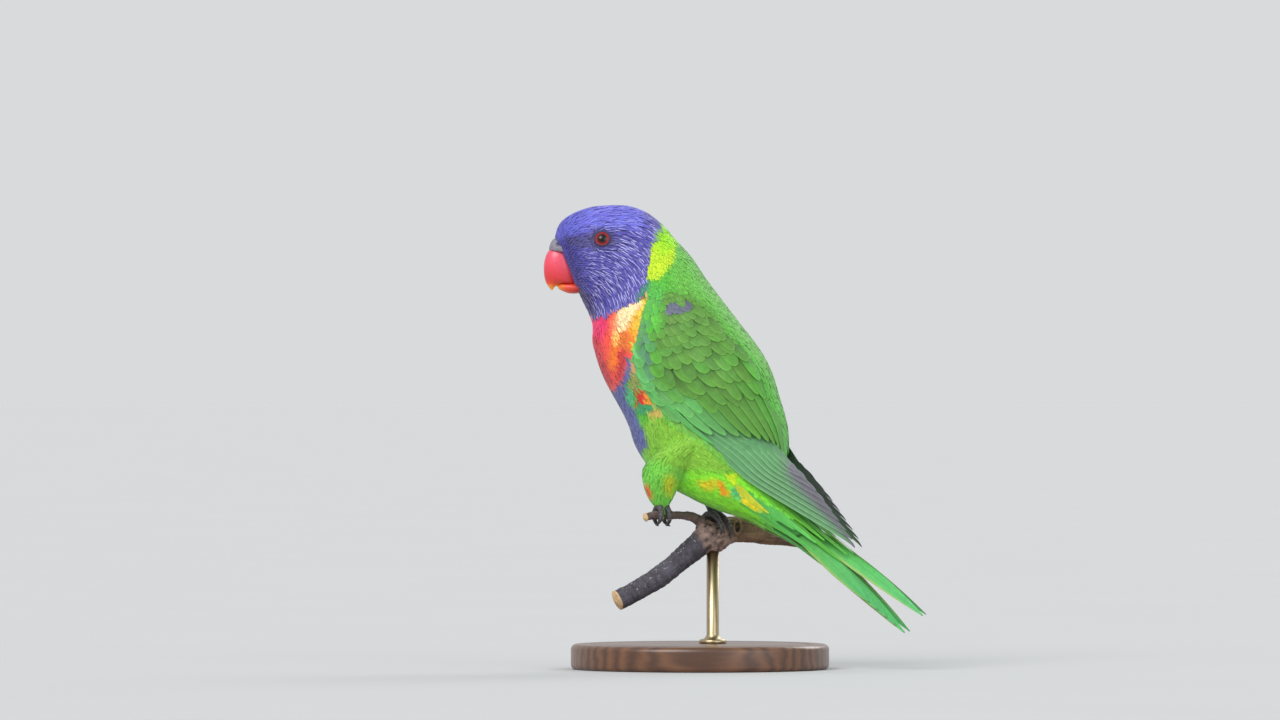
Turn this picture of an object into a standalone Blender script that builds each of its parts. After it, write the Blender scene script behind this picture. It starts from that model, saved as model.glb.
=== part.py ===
"""Rainbow lorikeet, life size, gripping a short cut length of branch on a display stand.

The bird is modelled straight, facing -X, with its left side toward -Y.
The pose is then put on: the head turns to the bird's left, and the whole bird turns about Z.
Lengths are in millimetres until a mesh is made, and metres from there on.
"""
import math

import bmesh
import bpy
import numpy as np
from mathutils import Vector

# Driving dimensions, in millimetres and degrees

MM = 0.001
GRID = 0.48              # one unit of the side-view drawing
DRAW_U, DRAW_V = 700.0, 669.0   # the drawing's place for the model's origin
BODY_YAW = 15.0          # the tail end turned toward -Y
HEAD_TURN = 20.0         # the head turned to the bird's left
NECK_X = -27.3           # upright axis that the head turns about
TURN_FROM, TURN_TO = 140.0, 176.0   # where along the neck the turn begins and ends
GAP = 0.35               # clear space between neighbouring pieces
BODY_RING = 28           # corners round the body
BODY_POWER = 0.88        # below 1 the body's sections are fuller than ellipses

WING_DEPTH = 3.8         # depth of the hollow that a folded wing lies in
HOLLOW_MARGIN = 1.3      # how far the hollow reaches past the wing's edges
VANE = 0.5               # thickness of a feather
EYE_RADIUS = 4.6
LID_MAJOR, LID_MINOR = 3.85, 0.52
TOE_RADIUS = 1.65
KNOT = (6.7, 10.6, 64.0)     # middle of the branch's knot
KNOT_RADIUS = 8.5
TWIG_RADIUS = 2.3
BRANCH_PLAN = 41.0       # the branch's direction seen from above
BASE_RADIUS, BASE_HEIGHT = 62.0, 12.0
ROD_RADIUS = 3.0
ROD_AT = (6.2, 10.6)

# Body sections from the brow to the end of the tail coverts.
# Each is back point, belly point (drawing units), half-width (mm), and how far
# below the middle it is widest.
SECTIONS = np.array((
    (553.5, 236.0, 576.0, 292.0, 7.0, 0.00),
    (560.0, 222.0, 580.0, 297.0, 11.0, 0.00),
    (572.0, 213.0, 582.0, 301.0, 14.0, 0.02),
    (590.0, 206.5, 584.0, 305.0, 16.0, 0.05),
    (610.0, 204.5, 586.0, 309.0, 17.5, 0.08),
    (630.0, 205.5, 588.0, 313.0, 18.5, 0.10),
    (648.0, 212.5, 590.0, 318.0, 19.0, 0.10),
    (662.0, 223.5, 592.0, 324.0, 19.5, 0.08),
    (677.0, 240.0, 592.5, 333.0, 20.5, 0.05),
    (691.0, 257.0, 593.5, 342.0, 22.5, 0.02),
    (705.0, 278.0, 596.0, 352.0, 25.0, 0.00),
    (722.0, 301.0, 600.0, 365.0, 27.5, 0.00),
    (738.0, 322.0, 606.0, 380.0, 28.5, 0.00),
    (752.0, 340.0, 614.0, 395.0, 29.0, 0.00),
    (764.0, 358.0, 623.0, 411.0, 29.0, 0.00),
    (772.0, 376.0, 631.0, 428.0, 28.5, 0.00),
    (778.0, 396.0, 638.0, 449.0, 27.0, 0.00),
    (784.0, 416.0, 660.0, 480.0, 25.0, 0.00),
    (787.0, 437.0, 690.0, 498.0, 22.0, 0.00),
    (786.0, 462.0, 716.0, 510.0, 18.0, 0.00),
    (793.0, 487.0, 741.0, 518.0, 15.0, 0.00),
    (806.0, 506.0, 763.0, 529.0, 12.0, 0.00),
    (821.0, 523.0, 789.0, 544.0, 9.0, 0.00),
))
LAST = len(SECTIONS) - 1
HEAD_ROWS = 9            # sections up to this one turn with the head

# Edges of the folded wing in the side drawing, shoulder to rear
WING_LOW = ((655, 297), (646, 303), (641, 320), (637, 337), (633, 352), (634, 367), (641, 385),
            (651, 398), (663, 408), (676, 421), (690, 433), (705, 445), (720, 457), (733, 469))
# The top edge as place along the body and angle from the back
WING_TOP = ((9.75, 60), (10.2, 50), (10.85, 42), (11.6, 35), (12.5, 30), (13.4, 26), (14.4, 22.5),
            (15.4, 19.5), (16.3, 17), (17.2, 15), (18.05, 13.5), (18.8, 12.5))


# Placing

def drawn(u, v, y=0.0, turned=False):
    """Straight-bird x and z of a place in the side drawing, at sideways place y."""
    yaw = math.radians(BODY_YAW)
    big_x = (u - DRAW_U) * GRID
    if turned:
        net = math.radians(HEAD_TURN - BODY_YAW)
        x = NECK_X + (big_x - NECK_X * math.cos(yaw) + y * math.sin(net)) / math.cos(net)
    else:
        x = (big_x - y * math.sin(yaw)) / math.cos(yaw)
    return x, (DRAW_V - v) * GRID


def place(u, v, y, turned=False):
    x, z = drawn(u, v, y, turned)
    return np.array((x, y, z))


def posed(points):
    """Turn the head and then the whole bird; points are in millimetres."""
    p = np.array(points, dtype=float).reshape(-1, 3)
    along = (-0.657 * p[:, 0] + 0.754 * p[:, 2] - TURN_FROM) / (TURN_TO - TURN_FROM)
    along = np.clip(along, 0.0, 1.0)
    turn = math.radians(HEAD_TURN) * along * along * (3.0 - 2.0 * along)
    dx, dy = p[:, 0] - NECK_X, p[:, 1]
    x = NECK_X + dx * np.cos(turn) - dy * np.sin(turn)
    y = dx * np.sin(turn) + dy * np.cos(turn)
    yaw = -math.radians(BODY_YAW)
    return np.stack((x * math.cos(yaw) - y * math.sin(yaw),
                     x * math.sin(yaw) + y * math.cos(yaw), p[:, 2]), axis=1)


def section(t):
    """Back point, belly point, half-width and drop at place t along the body."""
    t = min(max(float(t), 0.0), LAST - 1e-6)
    i = int(t)
    f = t - i
    rows = [SECTIONS[min(max(i + k, 0), LAST)] for k in (-1, 0, 1, 2)]
    r = 0.5 * (2 * rows[1] + (rows[2] - rows[0]) * f
               + (2 * rows[0] - 5 * rows[1] + 4 * rows[2] - rows[3]) * f * f
               + (3 * rows[1] - rows[0] - 3 * rows[2] + rows[3]) * f ** 3)
    blend = min(max(t - HEAD_ROWS + 1.0, 0.0), 1.0)
    back = [(1 - blend) * a + blend * b
            for a, b in zip(drawn(r[0], r[1], 0, True), drawn(r[0], r[1]))]
    belly = [(1 - blend) * a + blend * b
             for a, b in zip(drawn(r[2], r[3], 0, True), drawn(r[2], r[3]))]
    return np.array(back), np.array(belly), r[4], r[5]


def skin_point(t, angle):
    """Point of the body's outline surface; angle 0 is the back, 90 the left side."""
    back, belly, half, drop = section(t)
    a = math.radians(angle)
    run = math.cos(a) - drop * math.sin(a) ** 2
    mid = (back + belly) / 2 + (back - belly) / 2 * run
    side = -half * math.copysign(abs(math.sin(a)) ** BODY_POWER, math.sin(a))
    return np.array((mid[0], side, mid[1]))


def skin_normal(t, angle):
    t = min(max(t, 0.02), LAST - 0.03)
    along = skin_point(t + 0.02, angle) - skin_point(t - 0.02, angle)
    across = skin_point(t, angle + 1.0) - skin_point(t, angle - 1.0)
    n = np.cross(across, along)
    return n / np.linalg.norm(n)


def lifted(t, angle, lift):
    return skin_point(t, angle) + lift * skin_normal(t, angle)


def located(u, v, near=11.0):
    """Section place and angle of the point seen at (u, v) on the left side."""
    y = -20.0
    t, angle = near, 90.0
    for step in range(12):
        x, z = drawn(u, v, y)
        low, high = 8.5, LAST - 0.01
        for halving in range(40):
            t = (low + high) / 2
            back, belly, half, drop = section(t)
            side = ((belly[0] - back[0]) * (z - back[1]) - (belly[1] - back[1]) * (x - back[0]))
            if side < 0:
                high = t
            else:
                low = t
        run = 1 - 2 * np.dot((x - back[0], z - back[1]), belly - back) / np.dot(belly - back, belly - back)
        angle = math.degrees(math.acos(min(max(run, -0.999), 0.999)))
        y = 0.5 * y + 0.5 * skin_point(t, angle)[1]
    return t, angle


# Meshes

model = None
cutters = None


def start():
    global model, cutters
    for old in list(bpy.data.objects):
        bpy.data.objects.remove(old, do_unlink=True)
    model = bpy.data.collections.new("rainbow_lorikeet_model")
    cutters = bpy.data.collections.new("cutters")
    bpy.context.scene.collection.children.link(model)
    bpy.context.scene.collection.children.link(cutters)


def finish_material(name, colour, roughness, metallic=0.0):
    made = bpy.data.materials.new(name)
    made.use_nodes = True
    shader = made.node_tree.nodes["Principled BSDF"]
    shader.inputs["Base Color"].default_value = (*colour, 1.0)
    shader.inputs["Roughness"].default_value = roughness
    shader.inputs["Metallic"].default_value = metallic
    return made


def mesh_object(name, points, faces, collection=None, bird=True):
    """Object from millimetre points; the bird's own points are posed first."""
    world = posed(points) if bird else np.array(points, dtype=float).reshape(-1, 3)
    mesh = bpy.data.meshes.new(name)
    mesh.from_pydata([tuple(p * MM) for p in world], [], faces)
    work = bmesh.new()
    work.from_mesh(mesh)
    bmesh.ops.recalc_face_normals(work, faces=work.faces)
    work.to_mesh(mesh)
    work.free()
    made = bpy.data.objects.new(name, mesh)
    (collection or model).objects.link(made)
    return made


def lofted(rings, closed_ends=True):
    """Points and faces of a closed skin through rings of equal corner counts."""
    count = len(rings[0])
    points = [p for ring in rings for p in ring]
    faces = []
    for i in range(len(rings) - 1):
        for j in range(count):
            k = (j + 1) % count
            faces.append((i * count + j, i * count + k, (i + 1) * count + k, (i + 1) * count + j))
    if closed_ends:
        faces.append(tuple(range(count)))
        faces.append(tuple(range((len(rings) - 1) * count, len(rings) * count)))
    return points, faces


def vane(centres, normals, halves, thick=VANE, lean=0.0, columns=2, ridge=0.0):
    """Closed thin feather along its centre points, cut into triangles alike on both faces.

    halves gives the half-width at each centre, lean lifts one edge over the next feather,
    and ridge raises the middle column along the shaft.
    """
    centres = [np.array(c, dtype=float) for c in centres]
    points, faces = [], []
    count = len(centres)
    for i in range(count):
        ahead = centres[min(i + 1, count - 1)] - centres[max(i - 1, 0)]
        ahead = ahead / np.linalg.norm(ahead)
        n = np.array(normals[i], dtype=float)
        n = n - ahead * np.dot(n, ahead)
        n = n / np.linalg.norm(n)
        side = np.cross(ahead, n)
        for face in (0.5, -0.5):
            for c in range(columns):
                w = 2.0 * c / (columns - 1) - 1.0
                up = lean * w + ridge * (1.0 - abs(w))
                scale = min(1.0, halves[i] / 2.0)
                points.append(centres[i] + side * (w * halves[i]) + n * (up * scale + face * thick))
    row = 2 * columns
    for i in range(count - 1):
        a, b = i * row, (i + 1) * row
        for c in range(columns - 1):
            faces.append((a + c, a + c + 1, b + c + 1))
            faces.append((a + c, b + c + 1, b + c))
            d, e = a + columns + c, b + columns + c
            faces.append((d, e + 1, d + 1))
            faces.append((d, e, e + 1))
        for c, turn in ((0, 1), (columns - 1, -1)):
            quad = (a + c, b + c, b + columns + c, a + columns + c)
            quad = quad if turn > 0 else quad[::-1]
            faces.append((quad[0], quad[1], quad[2]))
            faces.append((quad[0], quad[2], quad[3]))
    for start_at in (0, (count - 1) * row):
        for c in range(columns - 1):
            faces.append((start_at + c, start_at + columns + c, start_at + columns + c + 1))
            faces.append((start_at + c, start_at + columns + c + 1, start_at + c + 1))
    return points, faces


def evaluated_mesh(item):
    graph = bpy.context.evaluated_depsgraph_get()
    return bpy.data.meshes.new_from_object(item.evaluated_get(graph))


def largest_only(item):
    """Keep the largest closed surface of a mesh."""
    work = bmesh.new()
    work.from_mesh(item.data)
    left, groups = set(work.faces), []
    while left:
        seed = left.pop()
        group, edge = {seed}, [seed]
        while edge:
            for link in edge.pop().edges:
                for face in link.link_faces:
                    if face in left:
                        left.discard(face)
                        group.add(face)
                        edge.append(face)
        groups.append(group)
    groups.sort(key=lambda g: sum(f.calc_area() for f in g))
    for group in groups[:-1]:
        bmesh.ops.delete(work, geom=list(group), context="FACES")
    loose = [v for v in work.verts if not v.link_faces]
    bmesh.ops.delete(work, geom=loose, context="VERTS")
    work.to_mesh(item.data)
    work.free()


def boolean(item, others, operation, solver="EXACT"):
    """One Boolean of a collection of closed meshes on item, applied, helpers removed."""
    helpers = bpy.data.collections.new("helpers")
    bpy.context.scene.collection.children.link(helpers)
    for other in others:
        for home in list(other.users_collection):
            home.objects.unlink(other)
        helpers.objects.link(other)
    cut = item.modifiers.new("cut", "BOOLEAN")
    cut.operation = operation
    cut.operand_type = "COLLECTION"
    cut.collection = helpers
    cut.solver = solver
    bpy.context.view_layer.update()
    result = evaluated_mesh(item)
    item.modifiers.remove(cut)
    item.data = result
    for other in list(helpers.objects):
        bpy.data.objects.remove(other, do_unlink=True)
    bpy.data.collections.remove(helpers)
    largest_only(item)
    return item


def tube(name, path, radii, sides=2, collection=None, bird=False, tilt=0.0):
    """Round tube along millimetre points, with a radius at each, as a closed mesh."""
    world = posed(path) if bird else np.array(path, dtype=float)
    curve = bpy.data.curves.new(name, "CURVE")
    curve.dimensions = "3D"
    curve.bevel_depth = MM
    curve.bevel_resolution = sides
    curve.use_fill_caps = True
    spline = curve.splines.new("POLY")
    spline.points.add(len(world) - 1)
    for point, at, radius in zip(spline.points, world, radii):
        point.co = (*(at * MM), 1.0)
        point.radius = radius
        point.tilt = tilt
    guide = bpy.data.objects.new(name + "_guide", curve)
    bpy.context.scene.collection.objects.link(guide)
    bpy.context.view_layer.update()
    mesh = evaluated_mesh(guide)
    work = bmesh.new()
    work.from_mesh(mesh)
    bmesh.ops.remove_doubles(work, verts=work.verts, dist=0.00002)
    bmesh.ops.recalc_face_normals(work, faces=work.faces)
    work.to_mesh(mesh)
    work.free()
    made = bpy.data.objects.new(name, mesh)
    made.matrix_world = guide.matrix_world
    bpy.data.objects.remove(guide, do_unlink=True)
    (collection or model).objects.link(made)
    return made


def ball(name, centre, radius, collection=None, segments=24, rings=16, scale=(1, 1, 1)):
    """Sphere or ellipsoid at a millimetre place in the posed frame."""
    mesh = bpy.data.meshes.new(name)
    work = bmesh.new()
    bmesh.ops.create_uvsphere(work, u_segments=segments, v_segments=rings, radius=radius * MM)
    for vert in work.verts:
        vert.co = Vector((vert.co.x * scale[0], vert.co.y * scale[1], vert.co.z * scale[2]))
        vert.co += Vector(tuple(np.array(centre) * MM))
    work.to_mesh(mesh)
    work.free()
    made = bpy.data.objects.new(name, mesh)
    (collection or model).objects.link(made)
    return made


def cylinder(name, centre, radius, height, collection=None, segments=48):
    """Upright cylinder whose foot is at a millimetre place."""
    mesh = bpy.data.meshes.new(name)
    work = bmesh.new()
    bmesh.ops.create_cone(work, cap_ends=True, segments=segments, radius1=radius * MM,
                          radius2=radius * MM, depth=height * MM)
    for vert in work.verts:
        vert.co += Vector((centre[0] * MM, centre[1] * MM, (centre[2] + height / 2) * MM))
    work.to_mesh(mesh)
    work.free()
    made = bpy.data.objects.new(name, mesh)
    (collection or model).objects.link(made)
    return made


def cut_plane(item, at, normal, keep_below=True):
    """Keep one side of a plane, with the cut filled flat."""
    work = bmesh.new()
    work.from_mesh(item.data)
    geom = list(work.verts) + list(work.edges) + list(work.faces)
    bmesh.ops.bisect_plane(work, geom=geom, dist=1e-7, plane_co=at, plane_no=normal,
                           clear_outer=keep_below, clear_inner=not keep_below)
    rim = [e for e in work.edges if e.is_boundary]
    bmesh.ops.edgeloop_fill(work, edges=rim)
    bmesh.ops.recalc_face_normals(work, faces=work.faces)
    work.to_mesh(item.data)
    work.free()
    return item


# Body: one loft, parted at the neck by two thin cuts

def body_rings(start_t, end_t, count, grow=0.0, ring=BODY_RING):
    rings = []
    for i in range(count + 1):
        t = start_t + (end_t - start_t) * i / count
        rings.append([lifted(t, 360.0 * j / ring, grow) for j in range(ring)])
    return rings


def plane_at(t):
    """World point and normal of the flat section at t; the normal points to the tail."""
    ring = posed([skin_point(t, a) for a in (0, 90, 180, 270)])
    middle = ring.mean(axis=0)
    n = np.cross(ring[1] - ring[3], ring[0] - ring[2])
    ahead = posed([skin_point(t + 0.5, 0)])[0] - posed([skin_point(t, 0)])[0]
    n = n / np.linalg.norm(n)
    if np.dot(n, ahead) < 0:
        n = -n
    return middle * MM, n


def add_body():
    parts = {}
    for name, ring in (("head", 28), ("neck", BODY_RING), ("torso", BODY_RING)):
        points, faces = lofted(body_rings(0.0, LAST, 34, ring=ring))
        parts[name] = mesh_object(name, points, faces)
    half = GAP / 2 * MM
    for t, front, rear in ((6.3, "head", "neck"), (8.85, "neck", "torso")):
        at, n = plane_at(t)
        cut_plane(parts[front], Vector(at - n * half), Vector(n), keep_below=True)
        cut_plane(parts[rear], Vector(at + n * half), Vector(n), keep_below=False)
    return parts["head"], parts["neck"], parts["torso"]


# Bill, cere and eyes

BILL_UPPER = (   # culmen point, inner point, half-width
    (550.0, 249.0, 569.5, 252.5, 4.6), (546.5, 254.0, 573.0, 258.5, 5.6),
    (544.3, 261.5, 576.0, 268.0, 6.1), (543.7, 269.0, 577.0, 277.0, 5.9),
    (544.3, 276.5, 575.5, 284.0, 4.9), (545.8, 282.0, 564.0, 283.6, 3.3),
    (548.0, 286.0, 555.0, 286.8, 1.9), (550.8, 290.0, 552.6, 290.2, 0.6),
)
BILL_LOWER = (   # upper point, under point, half-width, from the tip back to the chin
    (557.5, 286.4, 558.8, 289.0, 1.6), (561.5, 285.0, 562.5, 291.4, 3.2),
    (567.5, 285.2, 568.5, 293.4, 4.3), (574.0, 285.8, 575.0, 293.6, 4.9),
    (580.0, 286.4, 581.0, 292.6, 5.0),
)
CERE = (
    (553.6, 239.0, 559.0, 242.6, 2.6), (551.6, 241.4, 563.6, 246.2, 4.0),
    (550.0, 244.6, 567.4, 249.4, 4.8), (549.4, 248.0, 569.8, 251.4, 5.0),
)


def narrow_loft(rows, grow=0.0, ring=16, flat=1.0, round_side=True):
    """Loft of ovals, each from an outer point to an inner point of the drawing."""
    rings = []
    ends = len(rows) - 1
    for i, (u0, v0, u1, v1, half) in enumerate(rows):
        outer = place(u0, v0, 0, True)
        inner = place(u1, v1, 0, True)
        reach = np.linalg.norm(outer - inner) / 2
        ahead = (outer - inner) / (2 * reach)
        middle = (outer + inner) / 2
        if grow and i in (0, ends):
            step = place(*rows[min(i + 1, ends)][0:2], 0, True) - place(*rows[max(i - 1, 0)][0:2], 0, True)
            step = step / np.linalg.norm(step)
            middle = middle + step * (grow if i else -grow)
        ring_points = []
        for j in range(ring):
            a = 2 * math.pi * j / ring
            run = math.cos(a)
            side = math.copysign(abs(math.sin(a)) ** flat, math.sin(a))
            ring_points.append(middle + ahead * run * (reach + grow)
                               + np.array((0.0, side * (half + grow), 0.0)))
        rings.append(ring_points)
    return lofted(rings)


def add_bill(head):
    upper = mesh_object("bill_upper", *narrow_loft(BILL_UPPER))
    lower = mesh_object("bill_lower", *narrow_loft(BILL_LOWER))
    cere = mesh_object("cere", *narrow_loft(CERE))
    grown = [mesh_object("grown", *narrow_loft(rows, GAP + 0.15), collection=cutters)
             for rows in (BILL_UPPER, BILL_LOWER, CERE)]
    boolean(head, grown, "DIFFERENCE")
    grown = [mesh_object("grown", *narrow_loft(BILL_UPPER, GAP), collection=cutters)]
    boolean(lower, grown, "DIFFERENCE")
    grown = [mesh_object("grown", *narrow_loft(BILL_UPPER, GAP), collection=cutters)]
    pits = []
    for side in (-1, 1):
        at = posed([place(558.2, 245.0, side * 4.6, True)])[0]
        pits.append(ball("nostril", at, 1.15, cutters, 12, 8))
    boolean(cere, grown + pits, "DIFFERENCE")
    return upper, lower, cere


def eye_place(side):
    """Centre of the eyeball and the way it looks, in the posed frame."""
    t, angle = 3.62, 68.0
    best = None
    for tt in np.arange(2.8, 4.6, 0.05):
        for aa in np.arange(50, 110, 2.0):
            p = posed([skin_point(tt, aa)])[0]
            off = (p[0] - (602 - DRAW_U) * GRID) ** 2 + (p[2] - (DRAW_V - 239) * GRID) ** 2
            if best is None or off < best:
                best, t, angle = off, tt, aa
    surface = skin_point(t, angle)
    n = skin_normal(t, angle)
    centre = surface - 4.0 * n
    centre[1] *= -side
    n[1] *= -side
    both = posed([centre, centre + n * 2])
    look = both[1] - both[0]
    return both[0], look / np.linalg.norm(look)


def ring_object(name, centre, look, major, minor, collection=None, major_n=24, minor_n=6):
    axis = Vector(look)
    turn = axis.to_track_quat("Z", "Y").to_matrix()
    rings = []
    for i in range(major_n):
        a = 2 * math.pi * i / major_n
        ring = []
        for j in range(minor_n):
            b = 2 * math.pi * j / minor_n
            r = major + minor * math.cos(b)
            p = Vector((r * math.cos(a), r * math.sin(a), minor * math.sin(b)))
            ring.append(np.array(centre) + np.array(turn @ p))
        rings.append(ring)
    rings.append(rings[0])
    points, faces = lofted(rings[:-1], closed_ends=False)
    last = (major_n - 1) * minor_n
    for j in range(minor_n):
        k = (j + 1) % minor_n
        faces.append((last + j, last + k, k, j))
    return mesh_object(name, points, faces, collection, bird=False)


def add_eyes(head):
    eyes = []
    height = math.sqrt((EYE_RADIUS + GAP + LID_MINOR) ** 2 - LID_MAJOR ** 2)
    for name, side in (("left", -1), ("right", 1)):
        centre, look = eye_place(-side)
        eyes.append(ball("eye_" + name, centre, EYE_RADIUS, segments=18, rings=10))
        lid_at = np.array(centre) + look * height
        eyes.append(ring_object("eyelid_" + name, lid_at, look, LID_MAJOR, LID_MINOR))
        pocket = ball("pocket", centre, EYE_RADIUS + GAP, cutters, 20, 12)
        mesh = bpy.data.meshes.new("lid_pocket")
        work = bmesh.new()
        bmesh.ops.create_cone(work, cap_ends=True, segments=28, depth=6 * MM,
                              radius1=(LID_MAJOR + LID_MINOR + GAP) * MM,
                              radius2=(LID_MAJOR + LID_MINOR + GAP + 0.8) * MM)
        turn = Vector(look).to_track_quat("Z", "Y").to_matrix()
        base = Vector(tuple((np.array(centre) + look * (height - LID_MINOR - GAP + 3.0)) * MM))
        for vert in work.verts:
            vert.co = turn @ vert.co + base
        work.to_mesh(mesh)
        work.free()
        rim = bpy.data.objects.new("lid_pocket", mesh)
        cutters.objects.link(rim)
        boolean(head, [pocket, rim], "DIFFERENCE")
    return eyes


# Wings: a core that fits a hollow of the torso, with tiers of vanes rooted in it

def edge_table(edge):
    return np.array([located(u, v) for u, v in edge])


def wing_frame():
    low, top = edge_table(WING_LOW), np.array(WING_TOP, dtype=float)

    def at(a, v):
        """Section place and angle at a along the wing and v across it, 0 the top edge."""
        ends = []
        for table in (top, low):
            x = a * (len(table) - 1)
            i = min(max(int(math.floor(x)), 0), len(table) - 2)
            ends.append(table[i] + (table[i + 1] - table[i]) * (x - i))
        return ends[0] + (ends[1] - ends[0]) * v
    return at


# Sections of the folded wing behind the body: top edge, low edge, and their sideways places
# and how far the middle bulges out
WING_REAR = ((791, 462, -8.0, 745, 479, -19.3, 3.9), (804, 474, -7.6, 766, 493, -17.2, 2.8),
             (820, 493, -7.2, 789, 506, -14.4, 1.7), (836, 515, -6.9, 815, 522, -11.6, 0.8),
             (849, 534, -6.6, 838, 537, -9.2, 0.3), (857, 548, -6.4, 854, 549, -7.2, 0.0))


def wing_width(at, a):
    """Width of the wing at a, over the curve of the body."""
    spots = [skin_point(*at(a, v)) for v in (0.02, 0.5, 0.98)]
    return np.linalg.norm(spots[0] - spots[1]) + np.linalg.norm(spots[2] - spots[1])


def wing_patch(at, inner, outer, margin, a_to, wider=0.0, across=6, along=9):
    """Rings of a slab over the wing's area, between two depths of the body's surface."""
    rings = []
    a_from = margin - wider / 60.0
    for i in range(along + 1):
        a = a_from + (a_to - a_from) * i / along
        reach = wider / wing_width(at, max(a, 0.0))
        ring = []
        for depth, order in ((outer, range(across + 1)), (inner, range(across, -1, -1))):
            for j in order:
                v = margin + (1 - 2 * margin) * j / across
                t, angle = at(a, v + reach * (2 * v - 1))
                edge = 0.35 if j in (0, across) and depth == outer and margin > 0 else 0.0
                ring.append(lifted(t, angle, depth - edge))
        rings.append(ring)
    return rings


def rear_point(r, f, depth=0.0, wider=0.0):
    """Point and normal of the wing at place r behind the body, f from top to low edge."""
    r = min(max(r, 0.0), 4.999)
    i = int(r)
    row = np.array(WING_REAR[i]) + (np.array(WING_REAR[i + 1]) - WING_REAR[i]) * (r - i)
    top, low, bow = place(*row[0:3]), place(*row[3:6]), row[6]
    span = np.linalg.norm(low - top)
    way = (low - top) / span
    n = np.cross(np.array((0.77, 0.0, -0.63)), way)
    n = n / np.linalg.norm(n)
    n = n if n[1] < 0 else -n
    slope = n * span - way * bow * 4 * (1 - 2 * f)
    slope = slope / np.linalg.norm(slope)
    at = top + way * (span * f + wider * (2 * f - 1)) + n * bow * 4 * f * (1 - f)
    return at + slope * depth, slope, span


def wing_rear(inner, outer, wider, start, across=6):
    """Rings that carry the wing's slab on from the body to its tip; start is the first depth."""
    rings = []
    for i in range(6):
        ring = []
        deep = start if i == 0 else inner
        for depth, order in ((outer, range(across + 1)), (deep, range(across, -1, -1))):
            for j in order:
                ring.append(rear_point(i, j / across, depth, wider)[0])
        rings.append(ring)
    return rings


def mirrored(points):
    return [np.array((p[0], -p[1], p[2])) for p in points]


# Rows of coverts, shoulder to rear: root and tip along the wing, how many, and the first's shift
COVERT_ROWS = ((0.065, 0.185, 4, 0.0), (0.13, 0.29, 5, 0.5), (0.235, 0.395, 6, 0.0),
               (0.34, 0.505, 6, 0.5), (0.44, 0.665, 7, 0.0))
SECONDARIES = 7
PRIMARIES = 6


def wing_vanes(at):
    """Points and faces of every feather of the left wing, in the straight bird."""
    made = []

    def surface(a, v, lift):
        t, angle = at(a, v)
        return lifted(t, angle, lift), skin_normal(t, angle)

    for root, tip, number, shift in COVERT_ROWS:
        pitch = 0.94 / (number + shift)
        for k in range(number):
            v = 0.03 + pitch * (k + 0.5 + shift)
            centres, normals, halves = [], [], []
            for f, depth, wide in ((0.0, -2.75, 0.70), (0.35, -1.25, 0.96), (0.78, -0.25, 0.90),
                                   (1.0, 0.10, 0.34)):
                a = root + (tip - root) * f
                p, n = surface(a, v, depth)
                centres.append(p)
                normals.append(n)
                halves.append(wide * (0.5 * pitch * wing_width(at, a) - 0.2))
            made.append(vane(centres, normals, halves))

    # Secondaries and tertials, the upper ones longest
    for k in range(SECONDARIES):
        f = k / (SECONDARIES - 1)
        a_tip = 0.97 - 0.17 * f
        v = 0.12 + 0.72 * f
        centres, normals, halves = [], [], []
        for g, depth, wide in ((0.0, -2.9, 0.8), (0.22, -1.25, 1.0), (0.5, -0.35, 1.05),
                               (0.85, -0.15, 0.8), (1.0, -0.05, 0.25)):
            p, n = surface(0.56 + (a_tip - 0.56) * g, v - 0.03 * g, depth)
            centres.append(p)
            normals.append(n)
            halves.append(2.5 * wide)
        made.append(vane(centres, normals, halves, lean=-0.62))

    # Primaries run side by side along the low edge, and each ends at the top edge
    for k in range(PRIMARIES):
        from_low = 2.7 + 3.7 * (PRIMARIES - 1 - k)
        centres, normals, halves = [], [], []
        for a, depth, wide in ((0.66, -3.0, 0.7), (0.78, -2.45, 1.0), (0.93, -2.35, 1.0)):
            p, n = surface(a, 1.0 - from_low / max(wing_width(at, a), 24.5), depth)
            centres.append(p)
            normals.append(n)
            halves.append(2.9 * wide)
        tip = 0.0
        while tip < 4.8 and rear_point(tip, 0.5)[2] > from_low:
            tip += 0.05
        tip = max(tip, 0.35)
        for f, wide in ((0.0, 1.0), (0.35, 0.95), (0.7, 0.62), (0.9, 0.34), (1.0, 0.12)):
            span = rear_point(tip * f, 0.5)[2]
            near = min(from_low, span * 0.93) if k < PRIMARIES - 1 else min(2.7, span * 0.5)
            p, n, span = rear_point(tip * f, 1.0 - near / span, -0.3)
            centres.append(p)
            normals.append(n)
            halves.append(2.9 * wide)
        made.append(vane(centres, normals, halves, lean=-0.62))
    return made


def add_wings(torso):
    at = wing_frame()
    feathers = wing_vanes(at)
    wings = []
    for name, flip in (("wing_left", False), ("wing_right", True)):
        points, faces = lofted(wing_patch(at, -WING_DEPTH + GAP + 0.1, -1.9, 0.055, 0.86))
        core = mesh_object(name, mirrored(points) if flip else points, faces)
        vanes = []
        for points, faces in feathers:
            vanes.append(mesh_object("vane", mirrored(points) if flip else points, faces, cutters))
        boolean(core, vanes, "UNION", "MANIFOLD")
        wings.append(core)
        rings = wing_patch(at, -WING_DEPTH, 6.0, 0.0, 0.92, HOLLOW_MARGIN, along=12)
        rings += wing_rear(-1.75, 8.0, HOLLOW_MARGIN, start=-2.9)
        points, faces = lofted(rings)
        hollow = mesh_object("hollow", mirrored(points) if flip else points, faces, cutters)
        boolean(torso, [hollow], "DIFFERENCE")
    return wings


# Tail: twelve graduated vanes, the two groups of a side a little apart

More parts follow.
